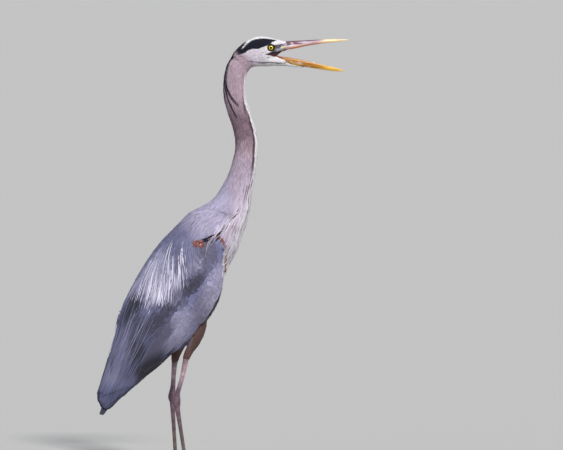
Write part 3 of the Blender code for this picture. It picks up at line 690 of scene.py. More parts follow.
def keep_largest(bm):
    """Deletes closed hollows inside the surface."""
    left, bodies = set(bm.faces), []
    while left:
        body, front = set(), [next(iter(left))]
        while front:
            face = front.pop()
            if face in body:
                continue
            body.add(face)
            front += [f for e in face.edges for f in e.link_faces if f not in body]
        bodies.append(body)
        left -= body
    bodies.sort(key=len, reverse=True)
    for body in bodies[1:]:
        bmesh.ops.delete(bm, geom=list(body), context="FACES")
    bmesh.ops.delete(bm, geom=[v for v in bm.verts if not v.link_faces], context="VERTS")


def closed_form(bm, voxel, smoothing):
    """The solids in this mesh closed into one surface."""
    bm = evaluated_bmesh(bm, "REMESH", mode="VOXEL", voxel_size=voxel)
    keep_largest(bm)
    smooth(bm, bm.verts, smoothing)
    return bm


def swell(bm, by):
    """Moves the whole surface out, or in where by is below 0."""
    bm.normal_update()
    move_verts(bm, [v.co + v.normal * by for v in bm.verts])


def edge_ends(bm):
    """The numbers of the two vertices of each edge."""
    bm.verts.index_update()
    return np.array([[v.index for v in e.verts] for e in bm.edges])


def add_neighbours(total, values, ends):
    """Adds to each vertex's total the values of the vertices that it shares an edge with."""
    np.add.at(total, ends[:, 0], values[ends[:, 1]])
    np.add.at(total, ends[:, 1], values[ends[:, 0]])
    return total


def level(bm, rounds):
    """Takes small steps out of a form and keeps its volume: each round pulls it in and pushes it out."""
    ends = edge_ends(bm)
    points = verts_of(bm)
    share = 1 / np.maximum(np.bincount(ends.ravel(), minlength=len(points)), 1)[:, None]
    for factor in (0.6, -0.62) * rounds:
        total = add_neighbours(np.zeros_like(points), points, ends)
        points = points + factor * (total * share - points)
    move_verts(bm, points)


def ease(bm, stands_out, rounds):
    """Rounds only what stands out from its surroundings at the thin rear edge of the wings."""
    rear = [v for v in bm.verts if v.co.x < -0.17]
    for _ in range(rounds):
        sharp = []
        for v in rear:
            around = [e.other_vert(v).co for e in v.link_edges]
            if around and (sum(around, Vector()) / len(around) - v.co).length > stands_out:
                sharp.append(v)
        smooth(bm, sharp)


def tube(place, around, along, closed=True):
    """A grid rolled into a tube: place gives the points at a turn and a way along, both from 0 to 1."""
    bm = bmesh.new()
    bmesh.ops.create_grid(bm, x_segments=around, y_segments=along, size=0.5)
    grid = verts_of(bm)
    move_verts(bm, place(np.round((grid[:, 0] + 0.5) * around) % around / around, grid[:, 1] + 0.5))
    bmesh.ops.remove_doubles(bm, verts=bm.verts, dist=1e-6)
    if closed:
        bmesh.ops.holes_fill(bm, edges=bm.edges, sides=0)
    bmesh.ops.recalc_face_normals(bm, faces=bm.faces)
    return bm


def superellipse(turn, power):
    """A round-cornered outline: how far across and up each point is, as shares of the half sizes."""
    a = 2 * math.pi * turn
    cos, sin = np.cos(a), np.sin(a)
    return np.sign(cos) * np.abs(cos) ** (2 / power), np.sign(sin) * np.abs(sin) ** (2 / power)


# x, z, half height and half width of the soft corner of the mouth, of the skin over the roots of the bill,
# of the feathered wedge on each side of the lower bill's root, and of the nape, where the head runs into
# the neck.
MOUTH_CORNER = [
    (0.0990, 0.9805, 0.0050, 0.0150), (0.1080, 0.9805, 0.0070, 0.0152), (0.1180, 0.9800, 0.0075, 0.0140),
    (0.1250, 0.9815, 0.0050, 0.0128), (0.1310, 0.9855, 0.0030, 0.0118), (0.1380, 0.9890, 0.0020, 0.0108),
]
BILL_ROOT = [
    (0.1380, 0.9990, 0.0106, 0.0116), (0.1450, 0.9998, 0.0104, 0.0115), (0.1520, 1.0008, 0.0094, 0.0108),
    (0.1570, 1.0016, 0.0080, 0.0098), (0.1600, 1.0020, 0.0066, 0.0088),
]
CHEEK_WEDGE = [
    (0.1120, 0.9700, 0.0090, 0.0024), (0.1230, 0.9688, 0.0086, 0.0022), (0.1320, 0.9665, 0.0072, 0.0019),
    (0.1410, 0.9630, 0.0050, 0.0018), (0.1480, 0.9598, 0.0032, 0.0017), (0.1535, 0.9578, 0.0015, 0.0012),
]
NAPE = [
    (0.0350, 0.9780, 0.0105, 0.0110), (0.0405, 0.9815, 0.0160, 0.0145), (0.0480, 0.9845, 0.0200, 0.0168),
    (0.0580, 0.9870, 0.0245, 0.0185), (0.0680, 0.9880, 0.0270, 0.0190),
]


def along_stations(stations, share):
    """Each column of the stations, read this share of the way along them."""
    return np.moveaxis(between(stations, share * (len(stations) - 1)), -1, 0)


def upright_form(stations, beside=0.0):
    """A closed form through the stations, this far to the left of the middle."""
    def place(turn, share):
        x, z, high, wide = along_stations(stations, share)
        across, up = superellipse(turn, 2.3)
        return np.stack([x, beside + wide * across, z + high * up], -1)

    return tube(place, 24, 12)


def join(bm, other):
    """Moves the other mesh into the first."""
    mesh = bpy.data.meshes.new("joined")
    other.to_mesh(mesh)
    other.free()
    bm.from_mesh(mesh)


def head_fillers():
    """The soft forms that close the head's solids into one."""
    bm = upright_form(NAPE)
    cheek = 0.0082  # how far out each wedge is
    fillers = [(MOUTH_CORNER, 0), (BILL_ROOT, 0), (CHEEK_WEDGE, cheek), (CHEEK_WEDGE, -cheek)]
    for stations, beside in fillers:
        join(bm, upright_form(stations, beside))
    return bm


def make_surface():
    """All the flesh and plumage solids as one surface without seams, finer on the head."""
    body = merged_copy(FORM)
    join(body, head_fillers())
    swell(body, SWELL)
    body = closed_form(body, BODY_VOXEL, 1)
    level(body, 12)
    swell(body, -SWELL)
    ease(body, 0.0007, 8)
    body.normal_update()
    head = merged_copy(["head", "jaw", "neck_upper"])
    join(head, head_fillers())
    head = closed_form(head, HEAD_VOXEL, 4)
    head_tree = BVHTree.FromBMesh(head)

    def of_head(v):
        return v.co.z > HEAD_FROM

    for reach in (0.0, 0.09):
        edges = [e for e in body.edges if all(of_head(v) and v.co.x > reach for v in e.verts)]
        bmesh.ops.subdivide_edges(body, edges=edges, cuts=1, use_grid_fill=True)
    for v in body.verts:
        if not of_head(v):
            continue
        weight = float(ramp(v.co.z, HEAD_FROM, HEAD_WHOLE))
        spot = head_tree.find_nearest(v.co)[0]
        v.co = v.co.lerp(spot, weight)
    nape = [v for v in body.verts if 0.028 < v.co.x < 0.078 and 0.948 < v.co.z < 0.99]
    smooth(body, [v for v in body.verts if of_head(v)], 3)
    smooth(body, nape, 14)
    head.free()
    body.normal_update()
    return body


surface = make_surface()
surface.faces.ensure_lookup_table()
surface_tree = BVHTree.FromBMesh(surface)
face_centres = np.array([f.calc_center_median()[:] for f in surface.faces])


def calm_normals(bm, rounds):
    """Vertex normals averaged with their neighbours', so that small steps turn no feather over."""
    ends = edge_ends(bm)
    normals = np.array([v.normal[:] for v in bm.verts])
    for _ in range(rounds):
        normals = unit(add_neighbours(normals.copy(), normals, ends))
    return normals


vertex_normals = calm_normals(surface, 8)
face_normals = unit(np.array([vertex_normals[[v.index for v in f.verts]].mean(0) for f in surface.faces]))
face_areas = np.array([f.calc_area() for f in surface.faces])
face_at, face_angle = body_place(face_centres)


def nearest_nodes():
    """Which solid each face of the surface came from."""
    bm = bmesh.new()
    owner = []
    for name in FORM:
        bm.from_mesh(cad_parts[name].data)
        owner += [name] * (len(bm.faces) - len(owner))
    tree = BVHTree.FromBMesh(bm)
    out = np.array([owner[tree.find_nearest(Vector(c))[2]] for c in face_centres])
    bm.free()
    return out


face_node = nearest_nodes()


def on(*names):
    return np.isin(face_node, names)


def droop(x):
    """The way the back plumes hang: backwards over the rump, turning to forwards by the wing's bend."""
    places = [-0.26, -0.21, -0.165, -0.13, -0.1, -0.06]
    lean = np.interp(x, places, [-0.36, -0.39, -0.3, -0.12, 0.05, 0.22])
    return unit(np.stack([lean, np.zeros_like(lean), -np.ones_like(lean)], -1))


def lie_of_plumage():
    """The way feathers point on each face: back from the bill, down the neck and on to the tail."""
    way = spine_way(face_at)
    hang = 0.9 * ramp(face_at, CHEST + 2.0, CHEST + 4.5) * ramp(face_angle, -25, 5)
    way = unit(way * (1 - hang[:, None]) + droop(face_centres[:, 0]) * hang[:, None])
    to_tip = unit((WING_TIP - face_centres) * [1, 0, 1])
    for names, lie in (
        (WINGS, to_tip),
        (["breast_plumes"], (-0.4, 0, -0.92)),
        (["thigh_right"], (-0.25, 0, -0.97)),
        (["thigh_left"], (-0.36, 0, -0.93)),
    ):
        way = np.where(on(*names)[:, None], lie, way)
    face = head_weight(face_centres)[:, None]
    from_bill = unit(face_centres - np.array([0.175, 0, 0.985]))
    way = unit(way * (1 - face) + from_bill * face)
    return unit(way - (way * face_normals).sum(1)[:, None] * face_normals)


face_way = lie_of_plumage()
exposed = np.ones(len(face_centres), bool)
for i, (centre, normal) in enumerate(zip(face_centres, face_normals)):
    start = Vector(centre + normal * 0.0015)
    exposed[i] = surface_tree.ray_cast(start, Vector(normal), 0.014)[0] is None


def unwrap(points):
    """The skin laid out flat: round the body across, and from the tail to the bill upwards."""
    at, angle = body_place(points)
    face = head_weight(points)
    forward = -(points[:, 0] - 0.055) / 0.0175
    along = at * (1 - face) + np.minimum(forward, at) * face
    round_head = np.degrees(np.arctan2(points[:, 2] - 0.984, np.abs(points[:, 1])))
    angle = angle * (1 - face) + round_head * face
    side = np.where(points[:, 1] >= 0, 1, -1)
    u = 0.5 + side * (angle + 90) / 360
    return np.stack([0.02 + 0.96 * u, 0.97 - 0.94 * (along + 7) / (LAST + 7)], -1)


# ---------------------------------------------------------------- feathers
def sprinkle(mask, spacing):
    """Even random roots on the chosen faces: many are drawn, and one is kept in each cell of a grid."""
    chosen = np.flatnonzero(mask & exposed)
    areas = face_areas[chosen]
    count = int(5 * areas.sum() / spacing**2)
    picks = chosen[rng.choice(len(chosen), count, p=areas / areas.sum())]
    spread = rng.uniform(-0.5, 0.5, (count, 2)) * np.sqrt(face_areas[picks])[:, None]
    way = face_way[picks]
    across = np.cross(face_normals[picks], way)
    points = face_centres[picks] + way * spread[:, :1] + across * spread[:, 1:]
    cells = np.floor(points / spacing + rng.uniform(0, 1, 3)).astype(np.int64)
    key = cells @ np.array([1, 100003, 10000600009])
    return points[np.unique(key, return_index=True)[1]]


def on_side(spots, side):
    """Points of the surface at these x and z on one side of the body, and whether each one was met."""
    points, met = np.zeros((len(spots), 3)), np.zeros(len(spots), bool)
    for i, (x, z) in enumerate(spots):
        hit = surface_tree.ray_cast(Vector((x, side * 0.3, z)), Vector((0, -side, 0)), 0.4)[0]
        met[i] = hit is not None and hit.y * side > 0
        points[i] = hit if met[i] else (x, 0, z)
    return points, met


def along_line(share, start, end):
    """Places this share of the way from one point to another, as x and z."""
    return np.stack([np.interp(share, [0, 1], [a, b]) for a, b in zip(start, end)], -1)


def shafts(roots, length, steps, stray, goals=None, pull=None, weight=0.0, loose=0.0035):
    """Walks each shaft over the surface from its root, along the lie of the plumage or on to its own goal.

    stray is how much the shafts turn aside; pull is a way that they are drawn in, with this weight. Where
    the surface turns away from it the shaft goes straight on, but never further off than loose."""
    count = len(roots)
    places, normals = np.empty((2, count, steps, 3))
    turn = rng.normal(0, stray, count)[:, None]
    stride = (np.broadcast_to(length, count) / (steps - 1))[:, None]
    here = np.array(roots, float)
    for k in range(steps):
        hits = [surface_tree.find_nearest(p) for p in here.tolist()]
        spot = np.array([h[0] for h in hits])
        faces = np.array([h[2] for h in hits])
        normal = face_normals[faces]
        if k:
            away = np.array([h[3] for h in hits])[:, None]
            off = away > 0.004
            held = np.minimum(1, loose / np.maximum(away, 1e-6))
            spot = np.where(off, spot + (here - spot) * held, spot)
            turned = (normal * normals[:, k - 1]).sum(1)[:, None] < 0.6
            normal = np.where(off | turned, normals[:, k - 1], normal)
        way = face_way[faces]
        if k > 1:
            way = np.where(off, unit(places[:, k - 1] - places[:, k - 2]), way)
        if goals is not None:
            way = unit(goals - here)
        if pull is not None:
            way = unit(way * (1 - weight) + pull * weight)
        way = way - (way * normal).sum(1)[:, None] * normal
        if k:
            lost = (np.linalg.norm(way, axis=1) < 0.3) | ((way * last).sum(1) < 0)
            way = np.where(lost[:, None], last, way)
        way = unit(way + np.cross(normal, way) * turn)
        places[:, k], normals[:, k] = spot, normal
        last = way
        here = spot + way * stride
    for _ in range(2):
        places[:, 1:-1] = (places[:, :-2] + 2 * places[:, 1:-1] + places[:, 2:]) / 4
    for _ in range(4):
        normals[:, 1:-1] = (normals[:, :-2] + normals[:, 1:-1] + normals[:, 2:]) / 3
        normals[:, 0] = (normals[:, 0] + normals[:, 1]) / 2
        normals[:, -1] = (normals[:, -1] + normals[:, -2]) / 2
    return places, unit(normals)


# Cross-sections of a feather: shares of its half width and of its half thickness.
THIN = np.array([(-1, 0), (0, 1), (1, 0), (0, -1)], float)
BROAD = np.array([(-1, 0), (-0.5, 0.75), (0, 1.1), (0.5, 0.75), (1, 0), (0, -0.8)], float)
PATCH = (0.0015, 0.003)  # half width and length of each feather's patch in the OFBake layout
DARKEST = 0.003  # no tint falls below this


def places_down(places):
    """How far down its shaft each place is."""
    return np.cumsum(np.linalg.norm(np.diff(places, axis=1, prepend=places[:, :1]), axis=2), axis=1)


def feather_faces(count, steps, ring):
    """The four-sided faces of this many feathers of rings, closed at both ends."""
    sides = len(ring)
    near = np.arange(steps - 1)[:, None] * sides + np.arange(sides)
    beside = np.arange(steps - 1)[:, None] * sides + (np.arange(sides) + 1) % sides
    quads = np.stack([near, near + sides, beside + sides, beside], -1)
    under = (ring[:, 1] < 0) | (np.roll(ring[:, 1], -1) < 0)
    quads[:, under] = quads[:, under][..., [1, 2, 3, 0]]
    quads = quads.reshape(-1, 4)
    ends = [[0, 1, 2, 3], [3, 2, 1, 0]]
    if sides == len(BROAD):
        ends = [[0, 1, 2, 5], [2, 3, 4, 5], [5, 2, 1, 0], [5, 4, 3, 2]]
    ends = np.array(ends)
    ends[len(ends) // 2 :] += (steps - 1) * sides
    quads = np.concatenate([quads, ends])
    return (np.arange(count)[:, None, None] * steps * sides + quads[None]).reshape(-1, 4)


def mesh_of(name, verts, faces):
    mesh = bpy.data.meshes.new(name)
    mesh.vertices.add(len(verts))
    mesh.vertices.foreach_set("co", verts.astype(np.float32).ravel())
    mesh.loops.add(faces.size)
    mesh.loops.foreach_set("vertex_index", faces.astype(np.int32).ravel())
    mesh.polygons.add(len(faces))
    mesh.polygons.foreach_set("loop_start", np.arange(0, faces.size, 4, dtype=np.int32))
    mesh.update(calc_edges=True)
    return mesh


def lay_out(mesh, roots, steps, across, faces):
    """Gives each feather a small patch in the OFBake layout, at the place of its root."""
    places = unwrap(roots)
    patch = np.empty((len(roots), steps, len(across), 2))
    patch[..., 0] = places[:, None, None, 0] + PATCH[0] * across
    patch[..., 1] = places[:, None, None, 1] + PATCH[1] * (np.linspace(0, 1, steps)[:, None] - 0.5)
    layer = mesh.uv_layers.new(name="OFBake")
    layer.uv.foreach_set("vector", patch.reshape(-1, 2)[faces.ravel()].astype(np.float32).ravel())


def vanes(name, shaft, width, shape, material, colours, rise, ring=THIN, thick=0.00022, camber=0.0,
          rim=0.0, calm=0.6, steady=0.3, replaced=()):
    """A joined mesh of closed thin feathers along the given shafts.

    width is each feather's full width; shape is its outline, as leaf takes it; rise is each step's height
    over the surface; colours has a colour for each step of each feather, and rim lightens it towards both
    edges; calm turns the shading towards that of the form that the feathers lie on, so that they close into
    one coat; steady keeps each feather from twisting."""
    places, normals = shaft
    normals = unit(normals * (1 - steady) + unit(normals.mean(1, keepdims=True)) * steady)
    count, steps = places.shape[:2]
    sides = len(ring)
    way = unit(np.gradient(places, axis=1))
    whole = unit(places[:, -1:] - places[:, :1])
    way = np.where((way * whole).sum(2)[..., None] < 0.35, whole, way)
    across = unit(np.cross(normals, way))
    up = unit(np.cross(way, across))
    half = 0.5 * np.broadcast_to(width, count)[:, None] * leaf(steps, *shape)[None, :]
    a, h = ring[:, 0], ring[:, 1]
    body = np.minimum(thick, half * 0.5 + 0.00003)
    height = body[..., None] * h - camber * half[..., None] * a**2 + rise[..., None]
    verts = places[:, :, None] + across[:, :, None] * (half[..., None] * a)[..., None]
    verts = (verts + up[:, :, None] * height[..., None]).reshape(-1, 3)
    faces = feather_faces(count, steps, ring)
    mesh = mesh_of(name, verts, faces)
    shade = 1 + rim * (np.abs(a) - 0.4)
    set_tint(mesh, np.clip(colours[:, :, None, :] * shade[:, None], DARKEST, 1).reshape(-1, 3))
    travelled = places_down(places)
    vane = np.empty((count, steps, sides, 3), np.float32)
    vane[..., 0] = half[..., None] * a
    vane[..., 1] = travelled[..., None] + rng.uniform(0, 0.01, count)[:, None, None]
    vane[..., 2] = rng.uniform(0, 1, count)[:, None, None]
    mesh.attributes.new("vane", "FLOAT_VECTOR", "POINT").data.foreach_set("vector", vane.ravel())
    lay_out(mesh, places[:, 0], steps, a, faces)
    obj = new_object(name, mesh, material)
    own = np.empty(len(verts) * 3, np.float32)
    mesh.vertex_normals.foreach_get("vector", own)
    own = own.reshape(count, steps, sides, 3)
    over = np.where(h[:, None] >= 0, calm, 0.0)
    shading = unit(own * (1 - over) + up[:, :, None] * over)
    mesh.normals_split_custom_set_from_vertices(shading.reshape(-1, 3))
    if replaced:
        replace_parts(obj, *replaced)
    return obj


def rising(count, steps, root, tip, jitter=0.0003, power=1.0):
    """Heights from under the surface at the root to just over it at the tip."""
    t = np.linspace(0, 1, steps) ** power
    return root + (tip - root) * t + rng.normal(0, jitter, count)[:, None] * t


def crowded(steps, ends):
    """How far along each step is, with the steps closer together towards the tip where ends is over 1."""
    return 1 - (1 - np.linspace(0, 1, steps)) ** ends


def crowd(shaft, ends):
    """The same shafts with their steps moved towards the tip, so that it can be round."""
    steps = shaft[0].shape[1]
    at = crowded(steps, ends) * (steps - 1)
    low = np.minimum(at.astype(int), steps - 2)
    part = (at - low)[None, :, None]
    places, normals = (rows[:, low] * (1 - part) + rows[:, low + 1] * part for rows in shaft)
    return places, unit(normals)


def leaf(steps, widest, root, tip, ends=1.0):
    """Share of the full width at each step: at the root, its widest place, and how blunt the tip is."""
    s = crowded(steps, ends)
    grow = root + (1 - root) * ramp(s, 0, widest)
    close = np.sqrt(np.clip(1 - np.clip((s - widest) / (1.0001 - widest), 0, 1) ** tip, 0, 1))
    return np.maximum(grow * close, 0.04)


def marked(places, share=0.55, jitter=0.05, tip_light=0.0, thighs=False):
    """The markings read part of the way along each feather, or all along it where no share is given."""
    count, steps = places.shape[:2]
    probe = places.reshape(-1, 3) if share is None else places[:, int(round(share * (steps - 1)))]
    colour = markings(probe, *body_place(probe), thighs).reshape(count, -1, 3)
    colour = colour * (1 + rng.normal(0, jitter, count))[:, None, None]
    light = 1 + tip_light * np.linspace(-0.5, 1, steps)
    return colour * light[None, :, None]


def plain(colour, count, steps, jitter=0.08, tip=None):
    """One colour, or two that change from root to tip, with a little difference between feathers."""
    t = np.linspace(0, 1, steps)[None, :, None]
    start, end = np.asarray(colour), np.asarray(tip or colour)
    return (start * (1 - t) + end * t) * (1 + rng.normal(0, jitter, count))[:, None, None]


soft = plumage_material("soft plumage", 0.75, 0.08, 9000, 0.1, specular=0.2)
contour = plumage_material("contour plumage", 0.62, 0.08, 5200, 0.12, shaft=0.12)
quills = plumage_material("flight feathers", 0.5, 0.05, 4200, 0.16, shaft=0.3, specular=0.35)
silk = plumage_material("silky plumes", 0.48, 0.06, 9000, 0.12, shaft=0.15, specular=0.35)
VARY = 0.15  # how far the sizes of the feathers of one tract differ from their mean


def tract(name, mask, spacing, length, width, steps, material, rise, tip=2.0, stray=0.06, jitter=0.05,
          thighs=False, replaced=()):
    """Covers the chosen faces with one kind of feather.

    rise is their height at the root and at the tip and how much the tips differ; jitter is how much their
    shades differ; tip is how blunt they are."""
    roots = sprinkle(mask, spacing)
    roots = roots[~bare_face(roots)]
    count = len(roots)
    long = length * rng.uniform(1 - VARY, 1 + VARY, count)
    wide = width * rng.uniform(1 - VARY, 1 + VARY, count)
    shaft = shafts(roots, long, steps, stray)
    tint = marked(shaft[0], jitter=jitter, thighs=thighs)
    heights = rising(count, steps, *rise)
    vanes(name, shaft, wide, (0.4, 0.45, tip), material, tint, heights, replaced=replaced)


# ---------------------------------------------------------------- skin
def make_skin():
    """One skin, sunk by the depth of the feathers over it, with a socket for each eye."""
    bm = surface.copy()
    points = verts_of(bm)
    normals = np.array([v.normal[:] for v in bm.verts])
    at, angle = body_place(points)
    depth = 0.0022 + 0.0012 * ramp(at, CHEST - 2, CHEST + 2) - 0.0012 * head_weight(points)
    depth = np.where(at > CHEST + 2, np.minimum(depth, 0.0024), depth)
    depth = np.where(bare_face(points), 0.0001, depth)
    for i, (p, n) in enumerate(zip(points, normals)):
        hit = surface_tree.ray_cast(Vector(p - n * 0.0004), Vector(-n), 0.02)
        if hit[0] is not None:
            depth[i] = min(depth[i], 0.32 * hit[3])
    x, y, z = points.T
    for mx, mz, long, deep in ((0.128, 0.9935, 0.011, 0.0007), (0.129, 0.9985, 0.0085, 0.0006)):
        crease = oval(x, z, mx, mz, long, 0.0022, 0, 0.8)
        depth = depth + deep * crease * (np.abs(y) > 0.006)
    moved = points - normals * depth[:, None]
    around = np.hypot(x - EYE[0], z - EYE[2])
    ball = EYE[1] + np.sqrt(np.clip(EYE_RADIUS**2 - around**2, 0, None)) - 0.0022
    sunk = ramp(around, 0.0072, 0.0054) * (np.abs(y) > 0.009)
    moved[:, 1] = np.sign(y) * (np.abs(moved[:, 1]) * (1 - sunk) + ball * sunk)
    move_verts(bm, moved)
    mesh = bpy.data.meshes.new("skin")
    bm.to_mesh(mesh)
    bm.free()
    set_tint(mesh, bare_colours(points, markings(points, at, angle, True) * 0.8))
    skin = new_object("skin", mesh, skin_material())
    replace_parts(skin, *FLESH)


# ---------------------------------------------------------------- eyes
# The lid's cross-section: how far out from the eye's middle, and how far out of the head from it.
LID = [
    (0.0050, 0.0059), (0.00525, 0.00645), (0.0059, 0.0065), (0.0067, 0.0059), (0.0075, 0.0050),
    (0.0082, 0.0038), (0.0076, 0.0030), (0.0062, 0.0036), (0.0051, 0.0046), (0.0050, 0.0059),
]
# The rings of the eye from its middle out, in units of 8 mm.
IRIS = [
    (0.0, (0.001, 0.001, 0.001)),
    (0.325, (0.001, 0.001, 0.001)),
    (0.350, (0.50, 0.30, 0.005)),
    (0.42, (0.82, 0.62, 0.006)),
    (0.58, (0.86, 0.68, 0.010)),
    (0.655, (0.46, 0.28, 0.005)),
    (0.69, (0.002, 0.002, 0.002)),
]


def eye_material():
    """A yellow iris with fine spokes and a black pupil under a wet clear surface."""
    material, tree, shader = nodes_of("eye")
    place = tree.nodes.new("ShaderNodeSeparateXYZ")
    tree.links.new(tree.nodes.new("ShaderNodeTexCoord").outputs["Object"], place.inputs[0])
    x = maths(tree, "SUBTRACT", place.outputs[0], float(EYE[0]))
    z = maths(tree, "SUBTRACT", place.outputs[2], float(EYE[2]))
    squares = maths(tree, "ADD", maths(tree, "MULTIPLY", x, x), maths(tree, "MULTIPLY", z, z))
    out = maths(tree, "MULTIPLY", maths(tree, "SQRT", squares), 1 / 0.008)
    rings = curve(tree, out, *IRIS)
    spin = tree.nodes.new("ShaderNodeCombineXYZ")
    tree.links.new(maths(tree, "ARCTAN2", z, x), spin.inputs[0])
    spokes = noise(tree, 9.0, 2, source=spin.outputs[0])
    colour = mixed(tree, 1.0, rings, curve(tree, spokes, (0.3, 0.72), (0.7, 1.1)), "MULTIPLY")
    tree.links.new(colour, shader.inputs["Base Color"])
    set_inputs(shader, Roughness=0.12, Specular_IOR_Level=0.15, Coat_Weight=0.45, Coat_Roughness=0.02)
    return material


def grained_material(name, scale, detail, dark, light, roughness, depth, stretch=None, **inputs):
    """A surface whose noise of this scale turns from dark to light and stands this far up."""
    material, tree, shader = nodes_of(name)
    grain = noise(tree, scale, detail, stretch=stretch)
    tree.links.new(curve(tree, grain, (0.3, dark), (0.7, light)), shader.inputs["Base Color"])
    set_inputs(shader, Roughness=roughness, **inputs)
    bump(tree, shader, grain, depth, 0.0003)
    return material


def lid_material():
    return grained_material("eyelid", 900, 3, (0.002, 0.002, 0.003), (0.008, 0.007, 0.01), 0.6, 0.5,
                            Specular_IOR_Level=0.15)


def make_eyes():
    iris, rim = eye_material(), lid_material()
    for side, name in SIDES:
        middle = Vector((EYE[0], side * EYE[1], EYE[2]))
        bm = bmesh.new()
        upright = Matrix.Translation(middle) @ Matrix.Rotation(math.pi / 2, 4, "X")
        bmesh.ops.create_uvsphere(bm, u_segments=48, v_segments=32, radius=EYE_RADIUS, matrix=upright)
        for v in bm.verts:
            off = v.co - middle
            cornea = float(ramp(off.y * side / EYE_RADIUS, 0.74, 0.94))
            v.co = middle + off * (1 + 0.045 * cornea)
        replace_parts(from_bmesh("eye_" + name + "_ball", bm, iris), "eye_" + name)

        def lid(turn, share):
            out, high = along_stations(LID, share)
            a = 2 * math.pi * turn
            outer = ramp(out, 0.0056, 0.008)
            corner = 0.001 * np.exp(-((np.cos(a) - 1) / 0.03) ** 2)
            out = out + outer * corner - 0.0002 * ramp(np.sin(a), 0.5, 1)
            high = high + 0.0003 * ramp(np.sin(a), 0.2, 0.9) + 0.00006 * np.sin(19 * a) * outer
            forward, upward = out * np.cos(a), 0.97 * out * np.sin(a)
            return np.stack([EYE[0] + forward, side * (EYE[1] + high), EYE[2] + upward], -1)

        from_bmesh("eyelid_" + name, tube(lid, 72, 27, closed=False), rim)


# ---------------------------------------------------------------- bill and tongue
# x, z, half height and half width along each half of the bill.
UPPER_BILL = [
    (0.1300, 0.9986, 0.0098, 0.0100), (0.1380, 0.9992, 0.0102, 0.0108), (0.1464, 0.9998, 0.0101, 0.0110),
    (0.1664, 1.0017, 0.0089, 0.0100), (0.1892, 1.0050, 0.0068, 0.0085), (0.2120, 1.0077, 0.0055, 0.0070),
    (0.2348, 1.0100, 0.0043, 0.0053), (0.2576, 1.0116, 0.0032, 0.0036), (0.2759, 1.0125, 0.0020, 0.0021),
    (0.2889, 1.0132, 0.0006, 0.0006),
]
LOWER_BILL = [
    (0.1230, 0.9690, 0.0052, 0.0072), (0.1330, 0.9688, 0.0072, 0.0084), (0.1482, 0.9665, 0.0078, 0.0087),
    (0.1664, 0.9633, 0.0080, 0.0079), (0.1892, 0.9591, 0.0073, 0.0067), (0.2120, 0.9547, 0.0068, 0.0054),
    (0.2348, 0.9503, 0.0059, 0.0042), (0.2576, 0.9464, 0.0044, 0.0029), (0.2710, 0.9440, 0.0024, 0.0017),
    (0.2782, 0.9426, 0.0006, 0.0006),
]


def stripe(up, middle, half):
    """1 along a line at this height on the side of the bill, fading away above and below."""
    return np.exp(-(((up - middle) / half) ** 2))


def bill_shape(stations, above, below, finer, turn, share):
    """Points of one half of the bill; above and below are how square its upper and lower corners are."""
    x, z, high, wide = along_stations(stations, share)
    a = 2 * math.pi * turn
    power = np.where(np.sin(a) >= 0, above, below)
    across, up = superellipse(turn, power)
    points = np.stack([x, wide * across, z + high * up], -1)
    return finer(points, x, across, up, high)


def upper_details(points, x, across, up, high):
    """The ridge along the top, the nostril's groove, and the hollow of the palate."""
    groove = stripe(up, 0.34, 0.17) * ramp(x, 0.144, 0.152) * ramp(x, 0.222, 0.182)
    slit = stripe(up, 0.36, 0.08) * ramp(x, 0.151, 0.154) * ramp(x, 0.17, 0.165)
    points[:, 1] -= np.sign(across) * (0.0009 * groove + 0.0008 * slit)
    points[:, 2] += high * (0.07 * np.exp(-((across / 0.2) ** 2)) * (up > 0))
    points[:, 2] += high * 0.45 * np.exp(-((across / 0.55) ** 4)) * (up < 0) * ramp(x, 0.288, 0.26)
    return points


def upper_tints(points, x, across, up):
    """Lilac at the base with maroon spots, an orange lower edge and a horn yellow point, with a painted
    highlight along the side near the base.
    """
    colour = all_of(points, (0.48, 0.32, 0.37))
    grain = drift(points * [0.12, 1, 1], 0.0016)
    spots = drift(points * [0.45, 1, 1], 0.0016)
    base = ramp(x, 0.215, 0.18)
    pale = base * ramp(grain, -0.2, 0.4) * ramp(np.abs(up - 0.4), 0.5, 0.1)
    colour = paint(colour, (0.74, 0.66, 0.76), pale)
    colour = paint(colour, (0.16, 0.05, 0.095), base * ramp(spots, 0.0, -0.7) * ramp(up, -0.3, 0.1))
    # Painted highlight: a pale streak along the side near the base.
    colour = paint(colour, (0.78, 0.66, 0.62), ramp(x, 0.2, 0.17) * stripe(up, -0.06, 0.14))
    colour = paint(colour, (0.5, 0.155, 0.02), ramp(up, -0.26, -0.55) * ramp(x, 0.142, 0.16))
    colour = paint(colour, (0.74, 0.44, 0.12), ramp(x, 0.205, 0.25) * ramp(up, 0.5, -0.5))
    colour = paint(colour, (0.88, 0.76, 0.46), ramp(x, 0.215, 0.245) * ramp(up, -0.5, 0.3))
    groove = 0.95 * stripe(up, 0.3, 0.15) * ramp(x, 0.142, 0.15) * ramp(x, 0.205, 0.175)
    colour = paint(colour, (0.08, 0.018, 0.04), groove * ramp(grain, -0.8, 0.1))
    ridge = 0.95 * ramp(up, 0.7, 0.88) * ramp(x, 0.142, 0.15) * ramp(x, 0.235, 0.21)
    colour = paint(colour, (0.085, 0.03, 0.07), ridge)
    patch = oval(x, up * 0.008, 0.156, 0.0042, 0.006, 0.0022, 0, 0.5)
    colour = paint(colour, (0.66, 0.42, 0.34), 0.85 * patch)
    colour = paint(colour, GAPE_RED, ramp(up, -0.45, -0.8) * ramp(x, 0.158, 0.14))
    return paint(colour, MOUTH, (up < -0.55) * (np.abs(across) < 0.8))


